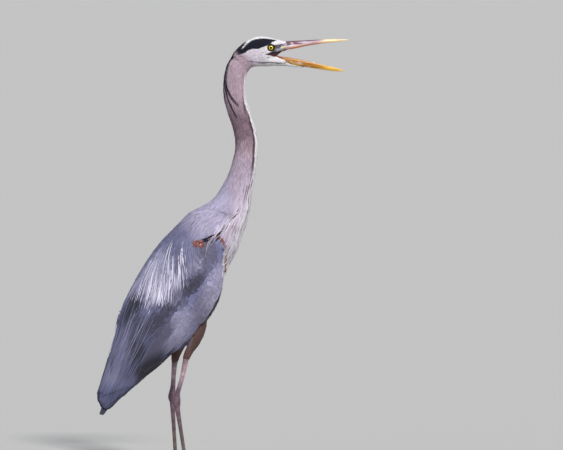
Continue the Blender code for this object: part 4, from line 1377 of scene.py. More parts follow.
def lower_details(points, x, across, up, high):
    """The trough along the top, where the tongue lies, and a shallow groove along each side."""
    depth = np.minimum(0.0056, 0.75 * high)
    points[:, 2] -= depth * np.exp(-((across / 0.66) ** 6)) * (up > 0) * ramp(x, 0.277, 0.262)
    points[:, 1] -= np.sign(across) * 0.0004 * stripe(up, 0.1, 0.2) * ramp(x, 0.22, 0.18)
    return points


def lower_tints(points, x, across, up):
    """Orange yellow, with a pale and a dark streak along the side, and yellow at the point."""
    colour = all_of(points, (0.42, 0.18, 0.008))
    grain = drift(points * [0.12, 1, 1], 0.0018)
    spots = drift(points * [0.35, 1, 1], 0.0018)
    under = ramp(up, -0.1, -0.5) * ramp(x, 0.145, 0.165) * ramp(spots, -0.6, 0.2)
    colour = paint(colour, (0.66, 0.36, 0.02), under)
    pale = stripe(up, -0.05, 0.28) * ramp(x, 0.195, 0.17)
    colour = paint(colour, (0.66, 0.57, 0.6), pale * ramp(spots, -0.4, 0.2))
    dark = 0.95 * stripe(up, 0.3, 0.2) * ramp(x, 0.215, 0.19) * ramp(grain, -0.3, 0.3)
    colour = paint(colour, (0.12, 0.026, 0.016), dark * ramp(x, 0.142, 0.15))
    brown = 0.75 * stripe(up, 0.05, 0.3) * ramp(x, 0.175, 0.195) * ramp(x, 0.245, 0.222)
    colour = paint(colour, (0.24, 0.075, 0.008), brown * ramp(grain, -0.6, 0.2))
    edge = ramp(up, 0.5, 0.8) * ramp(x, 0.27, 0.24) * ramp(x, 0.128, 0.14)
    colour = paint(colour, (0.7, 0.32, 0.015), edge)
    colour = paint(colour, (0.86, 0.5, 0.06), 0.9 * ramp(x, 0.215, 0.25))
    colour = paint(colour, (0.16, 0.04, 0.02), ramp(x, 0.142, 0.132) * ramp(up, 0.0, 0.4))
    return paint(colour, (0.42, 0.16, 0.08), (up > 0.4) * (np.abs(across) < 0.8))


def make_bill():
    horn = {"upper": horn_material("upper horn"), "lower": horn_material("lower horn", 0.26)}
    for name, stations, above, below, finer, tints in (
        ("upper", UPPER_BILL, 1.9, 3.4, upper_details, upper_tints),
        ("lower", LOWER_BILL, 3.4, 1.9, lower_details, lower_tints),
    ):
        def place(turn, share):
            return bill_shape(stations, above, below, finer, turn, share)

        bm = tube(place, 40, 130)
        at = np.interp(verts_of(bm)[:, 0], [s[0] for s in stations], range(len(stations)))
        z, high, wide = between(stations, at)[:, 1:].T
        obj = from_bmesh("bill_" + name + "_horn", bm, horn[name])
        points = coordinates(obj.data)
        set_tint(obj.data, tints(points, points[:, 0], points[:, 1] / wide, (points[:, 2] - z) / high))
        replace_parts(obj, "bill_" + name)


def make_tongue():
    wet = grained_material("tongue", 900, 3, (0.42, 0.16, 0.13), (0.66, 0.3, 0.24), 0.32, 0.5,
                           Coat_Weight=0.4)
    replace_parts(from_bmesh("tongue_flesh", rounded_copy("tongue"), wet), "tongue")


# ---------------------------------------------------------------- legs and feet
# On each side: the foot of the feathered thigh, the ankle and the ball of the foot, as x, y outwards, z.
LEGS = {
    "right": (RIGHT, (-0.0828, 0.0328, 0.2835), (-0.1026, 0.036, 0.188), (-0.076, 0.045, 0.009)),
    "left": (LEFT, (-0.1095, 0.0328, 0.27), (-0.1148, 0.036, 0.193), (-0.105, 0.045, 0.009)),
}


def scutes(points, middle, spacing, height):
    """Overlapping horny plates across the front of the leg, and small beads behind."""
    z = points[:, 2]
    out = unit((points - middle) * [1, 1, 0])
    front = ramp(out[:, 0], 0.15, 0.6)
    step = (z / spacing) % 1.0
    plate = ramp(step, 0.0, 0.16) - 0.85 * ramp(step, 0.3, 1.0)
    turn = np.arctan2(out[:, 1], out[:, 0])
    bead = 0.0024
    beads = np.abs(np.sin(z * math.pi / bead)) * np.abs(np.cos(turn * 5 + np.floor(z / bead) * 1.57))
    return points + out * (height * (plate * front + 0.45 * beads * (1 - front)))[:, None]


def leg_tube(stations, side, along):
    """A scaly tube through stations of x, y outwards, z, half depth and half width."""
    def place(turn, share):
        x, y, z, fore, across = along_stations(stations, share)
        a = 2 * math.pi * turn
        middle = np.stack([x, side * y, z], -1)
        points = middle + np.stack([fore * np.cos(a), across * np.sin(a), np.zeros_like(a)], -1)
        return scutes(points, middle, 0.0052, 0.0003)

    return tube(place, 28, along)


def leg_tints(points):
    """Lilac-pink above the ankle, purple-brown round it, and dark grey-brown below."""
    z = points[:, 2]
    colour = all_of(points, (0.125, 0.1, 0.095))
    colour = paint(colour, (0.15, 0.095, 0.125), ramp(z, 0.1, 0.17))
    colour = paint(colour, (0.42, 0.31, 0.37), ramp(z, 0.212, 0.24))
    return paint(colour, (0.26, 0.17, 0.2), 0.6 * ramp(z, 0.262, 0.276))


def set_root(claw, foot):
    """Sinks the root of the claw 3 mm into its toe."""
    claw.verts.ensure_lookup_table()
    reach = np.array([(v.co - foot).xy.length for v in claw.verts])
    ends = [claw.verts[i].co.copy() for i in (int(reach.argmin()), int(reach.argmax()))]
    along = (ends[1] - ends[0]).xy.normalized()
    for v in claw.verts:
        from_root = (v.co - ends[0]).xy.dot(along)
        v.co.xy -= along * 0.003 * float(ramp(from_root, 0.0035, 0.0))


def shank_stations(knee, ankle):
    """From inside the thigh's feathers down over the knob of the ankle."""
    (tx, ty, tz), (ax, ay, az) = knee, ankle
    slope = (ax - tx) / (az - tz)
    return [
        (tx + 0.012 * slope, ty, tz + 0.012, 0.0056, 0.0054),
        (tx, ty, tz, 0.0063, 0.006),
        (tx + 0.4 * slope * (az - tz), ty, tz + 0.4 * (az - tz), 0.0052, 0.005),
        (ax + 0.0015, ay, az + 0.022, 0.0057, 0.0053),
        (ax, ay, az + 0.008, 0.0078, 0.0074),
        (ax - 0.0008, ay, az - 0.002, 0.0085, 0.0078),
        (ax, ay, az - 0.01, 0.0071, 0.0068),
    ]


def tarsus_stations(ankle, foot):
    """From inside the ankle down into the ball of the foot."""
    (ax, ay, az), (fx, fy, fz) = ankle, foot
    top = az - 0.01
    stations = [(ax, ay, az - 0.006, 0.0068, 0.0062)]
    for share, wide in ((0.0, 1.45), (0.12, 1.2), (0.35, 1.0), (0.65, 0.97), (0.88, 1.1), (1.0, 1.3)):
        place = (ax + (fx - ax) * share, ay + (fy - ay) * share, top + (fz - top) * share)
        stations.append((*place, 0.0043 * wide, 0.004 * wide))
    return [*stations, (fx + 0.0006, fy, 0.0035, 0.0046, 0.004)]


def scaly_foot(name, middle):
    """The toes with a low ring of plates every 4.3 mm out from the ball of the foot."""
    bm = rounded_copy("foot_" + name)
    for v in bm.verts:
        step = ((v.co - middle).xy.length / 0.0043) % 1.0
        if v.co.z > 0.003:
            v.co.z += 0.0003 * float(ramp(step, 0.0, 0.2) - ramp(step, 0.35, 1.0))
        v.co.z = max(v.co.z, 0.0)
    return bm


def make_legs():
    hide, horn = scale_material("leg scales"), claw_material()
    for name, (side, knee, ankle, foot) in LEGS.items():
        middle = Vector((foot[0], side * foot[1], 0))
        parts = {
            "shank": leg_tube(shank_stations(knee, ankle), side, 150),
            "tarsus": leg_tube(tarsus_stations(ankle, foot), side, 230),
            "foot": scaly_foot(name, middle),
        }
        for part, bm in parts.items():
            obj = from_bmesh(f"{part}_{name}_scales", bm, hide)
            set_tint(obj.data, leg_tints(coordinates(obj.data)))
            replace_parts(obj, f"{part}_{name}")
        for toe in ("middle", "inner", "outer", "hind"):
            claw = f"claw_{name}_{toe}"
            bm = rounded_copy(claw)
            set_root(bm, middle)
            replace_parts(from_bmesh(claw + "_horn", bm, horn), claw)


def claw_material():
    return grained_material("claw horn", 500, 3, (0.012, 0.011, 0.01), (0.055, 0.048, 0.042), 0.33, 0.3,
                            stretch=(0.4, 0.4, 1))


make_skin()
make_eyes()
make_bill()
make_tongue()
make_legs()

# ---------------------------------------------------------------- coat: head and neck
face_x = face_centres[:, 0]
on_head = head_weight(face_centres) > 0.5
on_neck = on(*NECK_PARTS) & ~on_head
tract("coat_face", on_head & (face_x > 0.088), 0.0016, 0.0056, 0.0016, 3, soft,
      (-0.0006, 0.0005, 0.0001), stray=0.10, jitter=0.03)
tract("coat_head", on_head & (face_x <= 0.088), 0.0021, 0.01, 0.002, 4, soft,
      (-0.0009, 0.0006, 0.0002), stray=0.08, jitter=0.03)
change = face_at + 1.2 * drift(face_centres, 0.006)
tract("coat_neck_upper", on_neck & (change < 6), 0.0025, 0.019, 0.002, 5, soft,
      (-0.0012, 0.0006, 0.0002), stray=0.05, tip=1.4, jitter=0.05)
tract("coat_neck_lower", on_neck & (change >= 6), 0.0033, 0.032, 0.0025, 6, soft,
      (-0.0014, 0.0008, 0.0002), stray=0.04, tip=1.3, jitter=0.06)


# The crest plumes' routes down the neck, as stations and angles, and their widths.
CREST_PLUMES = {
    "crest_plume_long": ([(0.7, 72), (1.8, 68), (2.7, 60), (3.6, 42), (4.5, 28), (5.35, 14)], 0.0036),
    "crest_plume_short": ([(1.2, 62), (1.9, 54), (2.9, 46), (3.7, 21), (4.6, -10)], 0.0024),
}


def make_nape():
    """Black hackles from the back of the head down the neck, and the two crest plumes on its right side."""
    roots = sprinkle((face_angle > 68) & (face_at < 3.6) & (face_at > 0.1) & (face_x < 0.043), 0.003)
    count, steps = len(roots), 6
    shaft = shafts(roots, rng.uniform(0.018, 0.03, count), steps, 0.03)
    vanes("coat_nape", shaft, 0.0017, (0.3, 0.4, 1.3), soft,
          plain(BLACK, count, steps, 0.3), rising(count, steps, -0.0008, 0.0008, 0.0002))
    strands, steps = 7, 24
    for name, (route, wide) in CREST_PLUMES.items():
        place = between(route, np.linspace(0, len(route) - 1, steps))
        opening = 0.4 + 1.6 * ramp(np.linspace(0, 1, steps), 0.2, 1.0)
        shift = np.linspace(-1, 1, strands)[:, None] * opening[None]
        angle = place[None, :, 1] + shift * 1.2
        at = np.broadcast_to(place[:, 0], angle.shape) + rng.uniform(-0.12, 0.12, strands)[:, None]
        points = body_point(at.ravel(), angle.ravel(), -0.0014).reshape(strands, steps, 3)
        inner = body_point(at.ravel(), angle.ravel(), 0.006).reshape(strands, steps, 3)
        lift = rising(strands, steps, -0.001, 0.0008, 0.0002)
        vanes(name + "_feather", (points, unit(points - inner)), 0.5 * wide, (0.25, 0.6, 1.5),
              soft, plain(BLACK, strands, steps, 0.3), lift, replaced=[name])


make_nape()

# ---------------------------------------------------------------- coat: body
on_breast = on("breast_plumes", "trunk") & (face_at < CHEST + 4) | on("neck_lower") & (face_at > 10.5)
on_belly = on("trunk") & (face_at >= CHEST + 3.6) & (face_angle < -14)
on_belly &= np.abs(face_centres[:, 1]) < 0.04
on_thigh_sides = on(*THIGHS) & (np.abs(face_normals[:, 2]) < 0.8)
on_mantle = on("mantle") | on("neck_lower") & (face_at > 10.8) & (face_angle > 20)
on_wing = on(*WINGS)
tract("coat_breast", on_breast, 0.0046, 0.052, 0.0036, 6, soft,
      (-0.0016, 0.0010, 0.0003), stray=0.04, tip=1.3, jitter=0.08)
tract("coat_belly", on_belly, 0.0056, 0.024, 0.0066, 5, contour, (-0.0018, 0.0012, 0.0005))
tract("coat_vent", on("undertail"), 0.006, 0.03, 0.0075, 5, soft,
      (-0.0015, 0.0014, 0.0006))
tract("coat_thighs", on_thigh_sides, 0.0024, 0.015, 0.0019, 4, soft,
      (-0.0010, 0.0004, 0.0002), tip=1.4, jitter=0.06, thighs=True)
tract("coat_mantle", on_mantle, 0.0042, 0.044, 0.0036, 6, contour,
      (-0.0015, 0.0009, 0.0003), stray=0.03, tip=1.3, jitter=0.10, replaced=["mantle"])


def hanging_breast():
    """Long loose plumes from the foot of the neck over the breast, white, grey and dark."""
    roots = sprinkle((face_at > 9.2) & (face_at < CHEST + 1.6) & (face_angle < -8) & ~on_wing, 0.0052)
    at, angle = body_place(roots)
    count, steps = len(roots), 9
    long = rng.uniform(0.065, 0.105, count) * np.interp(at, [9.2, 12, 13.6], [0.8, 1.0, 0.75])
    hang = 0.55 * ramp(at, 10.5, 12.5)[:, None]
    shaft = shafts(roots, long, steps, 0.035, None, np.array([[-0.42, 0, -0.91]]), hang)
    tint = marked(shaft[0], 0.4, 0.08)
    kind = rng.uniform(0, 1, count) + 0.16 * ramp(angle, -70, -30)
    pale = ((kind < 0.52) & (angle < rng.uniform(-40, -18, count) + 14 * ramp(at, 11, 12.5)))[:, None, None]
    dark = ((kind > 0.88) & (kind < 1.02) & (angle < -16))[:, None, None]
    tint = np.where(pale, plain((0.74, 0.68, 0.8), count, steps, 0.1), tint)
    tint = np.where(dark, plain((0.2, 0.13, 0.16), count, steps, 0.25), tint)
    x, z = shaft[0][..., 0], shaft[0][..., 2]
    behind = (x < np.interp(z, *zip(*WING_FRONT)) + 0.001) & (z < 0.57)
    tint = np.where(behind[..., None], marked(shaft[0], None, 0.05), tint)
    width = rng.uniform(0.0016, 0.0034, count)
    vanes("coat_breast_plumes", shaft, width, (0.35, 0.4, 1.2), silk, tint,
          rising(count, steps, -0.001, 0.0018, 0.0005), replaced=["breast_plumes"])


hanging_breast()


def back_plumes():
    """Lance-shaped plumes that hang from the shoulders, silvery in the middle."""
    high = (face_at > CHEST + 2.0) & (face_at < CHEST + 6.6) & (face_angle > 2) & (face_angle < 70)
    high = high & (on("mantle") | on_wing)
    roots = sprinkle(high, 0.0064)
    x, z = roots[:, 0], roots[:, 2]
    end = np.interp(x, [-0.215, -0.18, -0.16, -0.13, -0.11, -0.09, -0.07, -0.045],
                    [0.425, 0.412, 0.398, 0.406, 0.414, 0.446, 0.484, 0.526])
    long = np.clip((z - end) * rng.uniform(0.7, 1.08, len(roots)), 0.03, 0.115)
    keep = (z > end + 0.02) & (x < -0.048)
    roots, long = roots[keep], long[keep]
    count, steps = len(roots), 12
    shaft = shafts(roots, long, steps, 0.07, None, droop(roots[:, 0]), 0.9)
    tint = marked(shaft[0], None, 0.14)
    x, z = roots[:, 0], roots[:, 2]
    silver = oval(x, z, -0.128, 0.508, 0.058, 0.027, 60, 0.5)
    silver = silver + 0.12 * oval(x, z, -0.19, 0.475, 0.05, 0.02, 66, 0.4)
    locks = drift(roots * [1, 0.5, 0.16], 0.005)
    kind = rng.uniform(0, 1, count) - 0.3 * locks
    bright = (kind < 0.015 + 0.66 * silver)[:, None, None]
    middling = ((kind > 0.75) & (silver > 0.3))[:, None, None]
    fading = ramp(places_down(shaft[0]), 0.002, 0.034)[..., None]
    for chosen, colour in ((middling, (0.3, 0.29, 0.44)), (bright, SILVER)):
        faded = tint * (1 - fading) + plain(colour, count, steps, 0.12) * fading
        tint = np.where(chosen, faded, tint)
    width = rng.uniform(0.0011, 0.0027, count)
    vanes("coat_silver_plumes", shaft, width, (0.4, 0.35, 1.15), silk, tint,
          rising(count, steps, 0.0003, 0.002, 0.0005), ring=BROAD, rim=-0.2, calm=0.4)


back_plumes()


def long_plumes():
    """Long narrow plumes from the lower back over the folded quills."""
    for side, name in SIDES:
        count, steps = 90, 14
        share = rng.uniform(0, 1, count)
        start = along_line(share, (-0.15, 0.375), (-0.207, 0.43))
        start += rng.normal(0, 0.007, (count, 2))
        roots, met = on_side(start, side)
        share = share[met]
        roots = roots[met]
        count = len(roots)
        end_x, end_z = along_line(share, (-0.212, 0.255), (-0.262, 0.275)).T
        ends = np.stack([end_x, roots[:, 1] * 0.8, end_z + rng.normal(0, 0.025, count)], -1)
        long = np.linalg.norm(ends - roots, axis=1)
        shaft = shafts(roots, long, steps, 0.02, ends)
        tint = marked(shaft[0], None, 0.22) * plain((0.95, 0.97, 1.05), count, steps, 0.05)
        pale = rng.uniform(0, 1, count) < 0.2
        tint = np.where(pale[:, None, None], plain((0.24, 0.23, 0.36), count, steps, 0.2), tint)
        thin, wide = rng.uniform(0.0006, 0.0014, count), rng.uniform(0.0025, 0.005, count)
        width = np.where(pale, thin, wide)
        lift = rising(count, steps, 0.0006, 0.0022, 0.0004) + 0.0006 * pale[:, None]
        vanes("coat_long_plumes_" + name, shaft, width, (0.4, 0.4, 1.2), silk,
              tint, lift, ring=BROAD, rim=0.1)


long_plumes()


def rump_plumes():
    """Long plumes down the middle of the back, which lie from wing to wing over the root of the tail."""
    count, steps = 44, 12
    levels, rear = np.linspace(0.18, 0.42, 25), []
    for z in levels:
        starts = [Vector((-0.5, y, z)) for y in (-0.016, -0.01, 0.01, 0.016)]
        hits = [surface_tree.ray_cast(start, Vector((1, 0, 0)))[0] for start in starts]
        rear.append(min([h.x for h in hits if h], default=-0.26))
    rear = np.convolve(np.pad(rear, 2, "edge"), np.full(5, 0.2), "valid")
    start, end = rng.uniform(0.335, 0.405, count), rng.uniform(0.185, 0.245, count)
    z = start[:, None] + (end - start)[:, None] * np.linspace(0, 1, steps)
    y = rng.uniform(-0.015, 0.015, count)[:, None] * np.linspace(1.1, 0.8, steps)
    places = np.stack([np.interp(z, levels, rear) - 0.0004, y, z], -1)
    normals = unit(np.stack([-0.93 * np.ones_like(z), 9 * y, 0.35 * np.ones_like(z)], -1))
    tint = marked(places, None, 0.2)
    width = rng.uniform(0.004, 0.0065, count)
    vanes("coat_rump_plumes", (places, normals), width, (0.4, 0.4, 1.3), silk,
          tint, rising(count, steps, -0.0008, 0.001, 0.0004), ring=BROAD, rim=0.15)


rump_plumes()


# ---------------------------------------------------------------- coat: wings and tail
def covert_size(out):
    """How far apart the coverts are at this distance from the point that the quills aim at."""
    return np.interp(out, [0.27, 0.34, 0.44, 0.54], [0.015, 0.0125, 0.0095, 0.0065])


def covert_spots():
    """Staggered places for coverts on rows round the point that the quills aim at, as x and z."""
    spots, out, row = [], 0.545, 0
    while out > 0.262:
        gap = covert_size(out)
        turns = np.arange(math.radians(40), math.radians(84), gap / out) + 0.5 * (row % 2) * gap / out
        turns = turns + rng.normal(0, 0.1, len(turns)) * gap / out
        away = out + rng.normal(0, 0.08, len(turns)) * gap
        spots.append(np.stack([WING_TIP[0] + away * np.cos(turns), WING_TIP[2] + away * np.sin(turns)], -1))
        out -= gap * 0.86
        row += 1
    return np.concatenate(spots)


def make_coverts(side, name):
    """Overlapping coverts on one wing, left out where they would turn over its edge or hang off it."""
    roots, met = on_side(covert_spots(), side)
    roots = roots[met]
    faces = [surface_tree.find_nearest(p)[2] for p in roots.tolist()]
    roots = roots[np.isin(face_node[faces], ["wing_" + name])]
    count, steps = len(roots), 10
    out = np.hypot(roots[:, 0] - WING_TIP[0], roots[:, 2] - WING_TIP[2])
    size = covert_size(out)
    long = size * np.interp(out, [0.27, 0.34, 0.54], [3.4, 3.0, 2.8]) * rng.uniform(0.9, 1.1, count)
    places, normals = shafts(roots, long, steps, 0.05, loose=0.012)
    flat = (np.abs(normals[..., 1]).min(1) > 0.62) | (size < 0.0105)
    last = [surface_tree.find_nearest(p)[2] for p in places[:, -1].tolist()]
    flat = flat & ~np.isin(face_node[last], [*THIGHS, "trunk"])
    size, count = size[flat], int(flat.sum())
    shaft = crowd((places[flat], normals[flat]), 2.0)
    tint = marked(shaft[0], None, 0.1, 0.05)
    width = size * 1.62 * rng.uniform(0.92, 1.08, count)
    vanes("coat_coverts_" + name, shaft, width, (0.5, 0.6, 2.2, 2.0), contour,
          tint, rising(count, steps, -0.0007, 0.0006, 0.0001), ring=BROAD, camber=0.02, rim=0.22,
          thick=0.00012, calm=0.8, steady=0.85, replaced=["wing_" + name])


# Folded quills: roots from and to, tips from and to, as x and z, then count, width and how light they are.
QUILL_ROWS = {
    "primaries": ((-0.075, 0.35), (-0.15, 0.35), (-0.178, 0.262), (-0.266, 0.176), 14, 0.018, 0.8),
    "tips": ((-0.15, 0.345), (-0.19, 0.345), (-0.262, 0.18), (-0.278, 0.192), 7, 0.018, 0.9),
    "secondaries": ((-0.05, 0.362), (-0.165, 0.352), (-0.112, 0.296), (-0.25, 0.19), 22, 0.019, 0.9),
    "rear": ((-0.2, 0.38), (-0.226, 0.375), (-0.262, 0.205), (-0.279, 0.212), 6, 0.018, 1.1),
    "tertials": ((-0.12, 0.385), (-0.205, 0.385), (-0.205, 0.228), (-0.268, 0.206), 10, 0.02, 1.15),
}


def make_quills(side, name):
    """The folded flight feathers of one wing, row over row, each quill over the one below it."""
    steps, bow = 16, 0.45
    walks, tints, widths, lifts = [], [], [], []
    for layer, (r0, r1, t0, t1, count, width, light) in enumerate(QUILL_ROWS.values()):
        share = np.linspace(0, 1, count)[:, None]
        roots = on_side(np.array(r0) * (1 - share) + np.array(r1) * share, side)[0]
        tips, met = on_side(np.array(t0) * (1 - share) + np.array(t1) * share, side)
        tips[~met, 1] = side * 0.012
        long = np.linalg.norm(tips - roots, axis=1) * 1.02
        places, normals = shafts(roots, long, steps, 0.004, tips, loose=0.012)
        there = np.linalg.norm((places[:, -1] - tips)[:, [0, 2]], axis=1) < 0.015
        there = there & met & (normals[:, 1:-3, 2].min(1) > -0.72)
        walk, count = (places[there], normals[there]), int(there.sum())
        walks.append(walk)
        tints.append(marked(walk[0], None, 0.09) * light)
        widths.append(width * rng.uniform(0.95, 1.05, count))
        rise = rising(count, steps, -0.0026, 0.0001 + 0.0004 * layer, 0.00005, bow)
        lifts.append(rise + 0.0008 * np.linspace(0, 1, count)[:, None] * np.linspace(0, 1, steps) ** bow)
    shaft = crowd([np.concatenate(rows) for rows in zip(*walks)], 1.6)
    vanes("quills_" + name, shaft, np.concatenate(widths), (0.45, 0.5, 2.0, 1.6), quills,
          np.concatenate(tints), np.concatenate(lifts), ring=BROAD, camber=0.02,
          rim=0.12, thick=0.0003, calm=0.5, steady=0.85, replaced=["primaries_" + name])


def make_tail():
    """Twelve tail quills in a shallow arch."""
    steps, count = 14, 12
    at = np.linspace(LAST - 4.6, LAST, steps)
    x, z, depth, width, lean = np.moveaxis(between(SPINE, at), -1, 0)
    across = np.linspace(-0.92, 0.92, count)[:, None]
    half = 0.013 + 0.0095 * ramp(at, LAST - 4.3, LAST - 1.8)
    half = np.minimum(half, np.maximum(width - 0.006, 0.015))
    arch = np.minimum(0.01, 0.4 * depth) * across**2
    drop = 0.1 * depth - arch + 0.0006 * (np.arange(count) % 6)[:, None]
    lean = np.radians(lean)
    past = np.linspace(0, 1, steps) ** 3 * 0.008
    rows = (x - drop * np.cos(lean) - 0.5 * past, half * across, z + drop * np.sin(lean) - past)
    places = np.stack(rows, -1)
    rows = np.broadcast_arrays(-np.cos(lean), 0.9 * across, np.sin(lean))
    shaft = crowd((places, unit(np.stack(rows, -1))), 1.8)
    tint = plain(QUILL, count, steps, 0.06, (0.03, 0.032, 0.07))
    vanes("tail_quills", shaft, 0.015, (0.6, 0.6, 2.6, 1.8), quills, tint,
          np.zeros((count, steps)), ring=BROAD, camber=0.1, rim=0.15, thick=0.0003, replaced=["tail"])


for side, name in SIDES:
    make_coverts(side, name)
    make_quills(side, name)
make_tail()
on_edge = (np.abs(face_normals[:, 1]) < 0.8) & (face_centres[:, 0] < -0.17) & (face_centres[:, 2] < 0.3)
on_edge |= np.hypot(face_centres[:, 0] - WING_TIP[0], face_centres[:, 2] - WING_TIP[2]) < 0.088
on_edge &= (unit((WING_TIP - face_centres) * [1, 0, 1]) * face_normals).sum(1) < 0.72
tract("coat_wing_edges", on_wing & on_edge, 0.0048, 0.017, 0.006, 5, contour,
      (-0.0012, 0.0005, 0.0002), stray=0.03, tip=1.8, jitter=0.04)


# ---------------------------------------------------------------- coat: marks at the bend of the wing
def strewn(name, spots, ways, long, width, steps, colours, rise):
    """Small feathers at given places on both sides, each pointing its own way."""
    walks, tints, widths, lifts = [], [], [], []
    for side in (LEFT, RIGHT):
        roots, met = on_side(spots, side)
        roots, way = roots[met], ways[met]
        goals = roots + np.stack([way[:, 0], np.zeros(len(way)), way[:, 1]], -1)
        walks.append(shafts(roots, long[met], steps, 0.1, goals))
        tints.append(colours[met])
        widths.append(width[met])
        lifts.append(rising(met.sum(), steps, *rise))
    shaft = [np.concatenate(rows) for rows in zip(*walks)]
    vanes(name, shaft, np.concatenate(widths), (0.4, 0.4, 1.3), soft,
          np.concatenate(tints), np.concatenate(lifts))


def chestnut_spot():
    """A ragged spot behind the bend of the wing, with a white fleck."""
    count, steps = 110, 5
    turn = rng.uniform(0, 2 * math.pi, count)
    away = np.sqrt(rng.uniform(0, 1, count))
    spots = np.stack([-0.05 + 0.011 * away * np.cos(turn), 0.5535 + 0.0062 * away * np.sin(turn)], -1)
    ways = np.stack([0.5 * np.cos(turn) - 0.9, 0.4 * np.sin(turn) - 0.2], -1)
    ways = ways + rng.normal(0, 0.15, (count, 2))
    tint = plain(CHESTNUT, count, steps, 0.3, (0.32, 0.11, 0.08))
    long, width = rng.uniform(0.005, 0.009, count), rng.uniform(0.0014, 0.0026, count)
    strewn("coat_chestnut_spot", spots, ways, long, width, steps, tint, (0.0004, 0.0016, 0.0003))
    count = 7
    spots = np.array([-0.0468, 0.5515]) + rng.normal(0, 0.0006, (count, 2))
    ways = np.tile([-0.9, -0.3], (count, 1))
    long, width = np.full(count, 0.003), np.full(count, 0.0013)
    tint = plain((0.72, 0.66, 0.7), count, steps)
    strewn("coat_white_fleck", spots, ways, long, width, steps, tint, (0.0012, 0.0024, 0.0002))


# The front edge of the wing from its bend down, as x and z.
CHESTNUT_LINE = np.array([
    (-0.0060, 0.5690), (-0.0015, 0.5640), (0.0046, 0.5540), (0.0085, 0.5424),
    (0.0100, 0.5278), (0.0092, 0.5162), (0.0080, 0.5016), (0.0078, 0.4902),
])


def chestnut_edge():
    """The chestnut line down the front edge of the wing."""
    count, steps = 130, 5
    share = rng.uniform(0, len(CHESTNUT_LINE) - 1, count)
    spots = between(CHESTNUT_LINE, share) + rng.normal(0, 0.0013, (count, 2))
    ways = unit(between(CHESTNUT_LINE, share + 0.4) - between(CHESTNUT_LINE, share - 0.4))
    long, width = rng.uniform(0.006, 0.011, count), rng.uniform(0.001, 0.0018, count)
    tint = plain(CHESTNUT, count, steps, 0.3, (0.27, 0.09, 0.065))
    strewn("coat_chestnut_edge", spots, ways, long, width, steps, tint, (0.0006, 0.0022, 0.0004))


def black_tuft():
    """The black tuft above the bend of the wing, with some chestnut in it."""
    count, steps = 110, 6
    share = rng.uniform(0, 1, count)
    spots = np.stack([-0.034 + 0.034 * share, 0.5635 + 0.0145 * share], -1)
    spots += rng.normal(0, 1, (count, 2)) * np.interp(share, [0, 1], [0.001, 0.003])[:, None]
    ways = np.tile([-0.8, -0.55], (count, 1)) + rng.normal(0, 0.15, (count, 2))
    brown = (rng.uniform(0, 1, count) < 0.3)[:, None, None]
    tint = np.where(brown, plain((0.11, 0.028, 0.03), count, steps, 0.3), plain(BLACK, count, steps, 0.3))
    long, width = rng.uniform(0.008, 0.016, count), rng.uniform(0.0014, 0.0024, count)
    strewn("coat_black_tuft", spots, ways, long, width, steps, tint, (0.0004, 0.0018, 0.0003))


# Loose white plumes across the tuft: each one's route from the neck backwards and down, as x and z.
WHITE_STRANDS = [
    [(0.010, 0.606), (-0.004, 0.5860), (-0.018, 0.5710), (-0.0340, 0.5610)],
    [(0.004, 0.598), (-0.0125, 0.5760), (-0.0315, 0.5540), (-0.0375, 0.5205)],
    [(0.008, 0.600), (-0.006, 0.5800), (-0.0235, 0.5620), (-0.0345, 0.5380)],
    [(0.014, 0.598), (0.000, 0.5780), (-0.0140, 0.5640), (-0.0260, 0.5470)],
    [(0.016, 0.594), (0.006, 0.5760), (-0.004, 0.5620), (-0.0150, 0.5520)],
    [(0.018, 0.590), (0.010, 0.5720), (0.002, 0.5580), (-0.0040, 0.5430)],
]


def white_strands():
    steps, parts = 14, []
    for side in (LEFT, RIGHT):
        for line in WHITE_STRANDS:
            roots, met = on_side(between(line, np.linspace(0, 3, steps)), side)
            if met.all():
                parts.append(roots)
    places = np.array(parts)
    normals = np.zeros_like(places)
    normals[..., 1] = np.sign(places[..., 1])
    count = len(places)
    tint = plain((0.66, 0.6, 0.68), count, steps, 0.08)
    vanes("coat_white_strands", (places, normals), 0.001, (0.3, 0.6, 1.2), silk,
          tint, rising(count, steps, 0.0014, 0.0026, 0.0002))


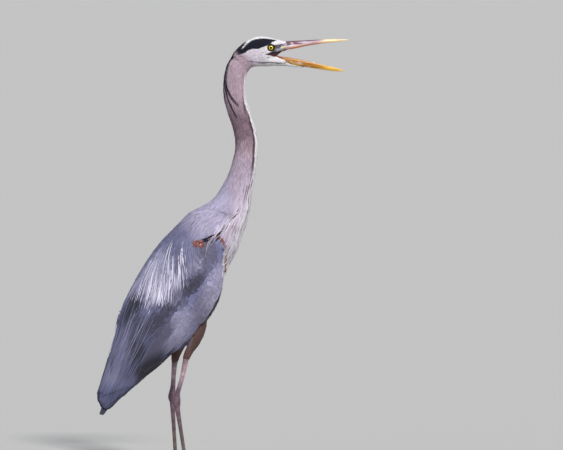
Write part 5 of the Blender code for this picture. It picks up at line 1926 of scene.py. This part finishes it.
chestnut_spot()
chestnut_edge()
black_tuft()
white_strands()


# ---------------------------------------------------------------- floor, light and camera
def make_stage():
    """A plain floor, wide enough to fill any view from above."""
    bm = bmesh.new()
    bmesh.ops.create_grid(bm, x_segments=1, y_segments=1, size=70)
    mesh = bpy.data.meshes.new("floor")
    bm.to_mesh(mesh)
    bm.free()
    material, _, shader = nodes_of("pale floor")
    set_inputs(shader, Base_Color=(0.42, 0.42, 0.41, 1), Roughness=0.9)
    mesh.materials.append(material)
    floor = bpy.data.objects.new("floor", mesh)
    bpy.context.scene.collection.objects.link(floor)


def make_lights():
    """Even light from all round, a sun from ahead of the bird and a weak one from behind it."""
    world = bpy.data.worlds.new("studio")
    world.use_nodes = True
    set_inputs(world.node_tree.nodes["Background"], Color=(0.88, 0.92, 1.0, 1), Strength=0.55)
    bpy.context.scene.world = world
    bpy.context.scene.view_settings.view_transform = "Standard"
    for name, energy, angle, turn, colour in (
        ("key", 3.1, 7, (44, 0, 30), (1.0, 0.97, 0.93)),
        ("fill", 0.5, 60, (60, 0, -60), (0.92, 0.95, 1.0)),
    ):
        lamp = bpy.data.lights.new(name, "SUN")
        lamp.energy = energy
        lamp.angle = math.radians(angle)
        lamp.color = colour
        obj = bpy.data.objects.new(name, lamp)
        obj.rotation_euler = [math.radians(a) for a in turn]
        bpy.context.scene.collection.objects.link(obj)


def make_camera():
    """A long lens at the bird's chest height, looking at its right side from a little above."""
    distance, rise, view_width, sensor = 14.0, math.radians(5), 1.284, 36
    target = Vector((0.1357, 0, 0.5905))
    lens = bpy.data.cameras.new("camera")
    lens.sensor_width = sensor
    lens.lens = sensor * distance / view_width
    lens.clip_end = 200
    camera = bpy.data.objects.new("camera", lens)
    camera.location = target + Vector((0, -math.cos(rise), math.sin(rise))) * distance
    camera.rotation_euler = (target - camera.location).to_track_quat("-Z", "Y").to_euler()
    bpy.context.scene.collection.objects.link(camera)
    bpy.context.scene.camera = camera


make_stage()
make_lights()
make_camera()
surface.free()
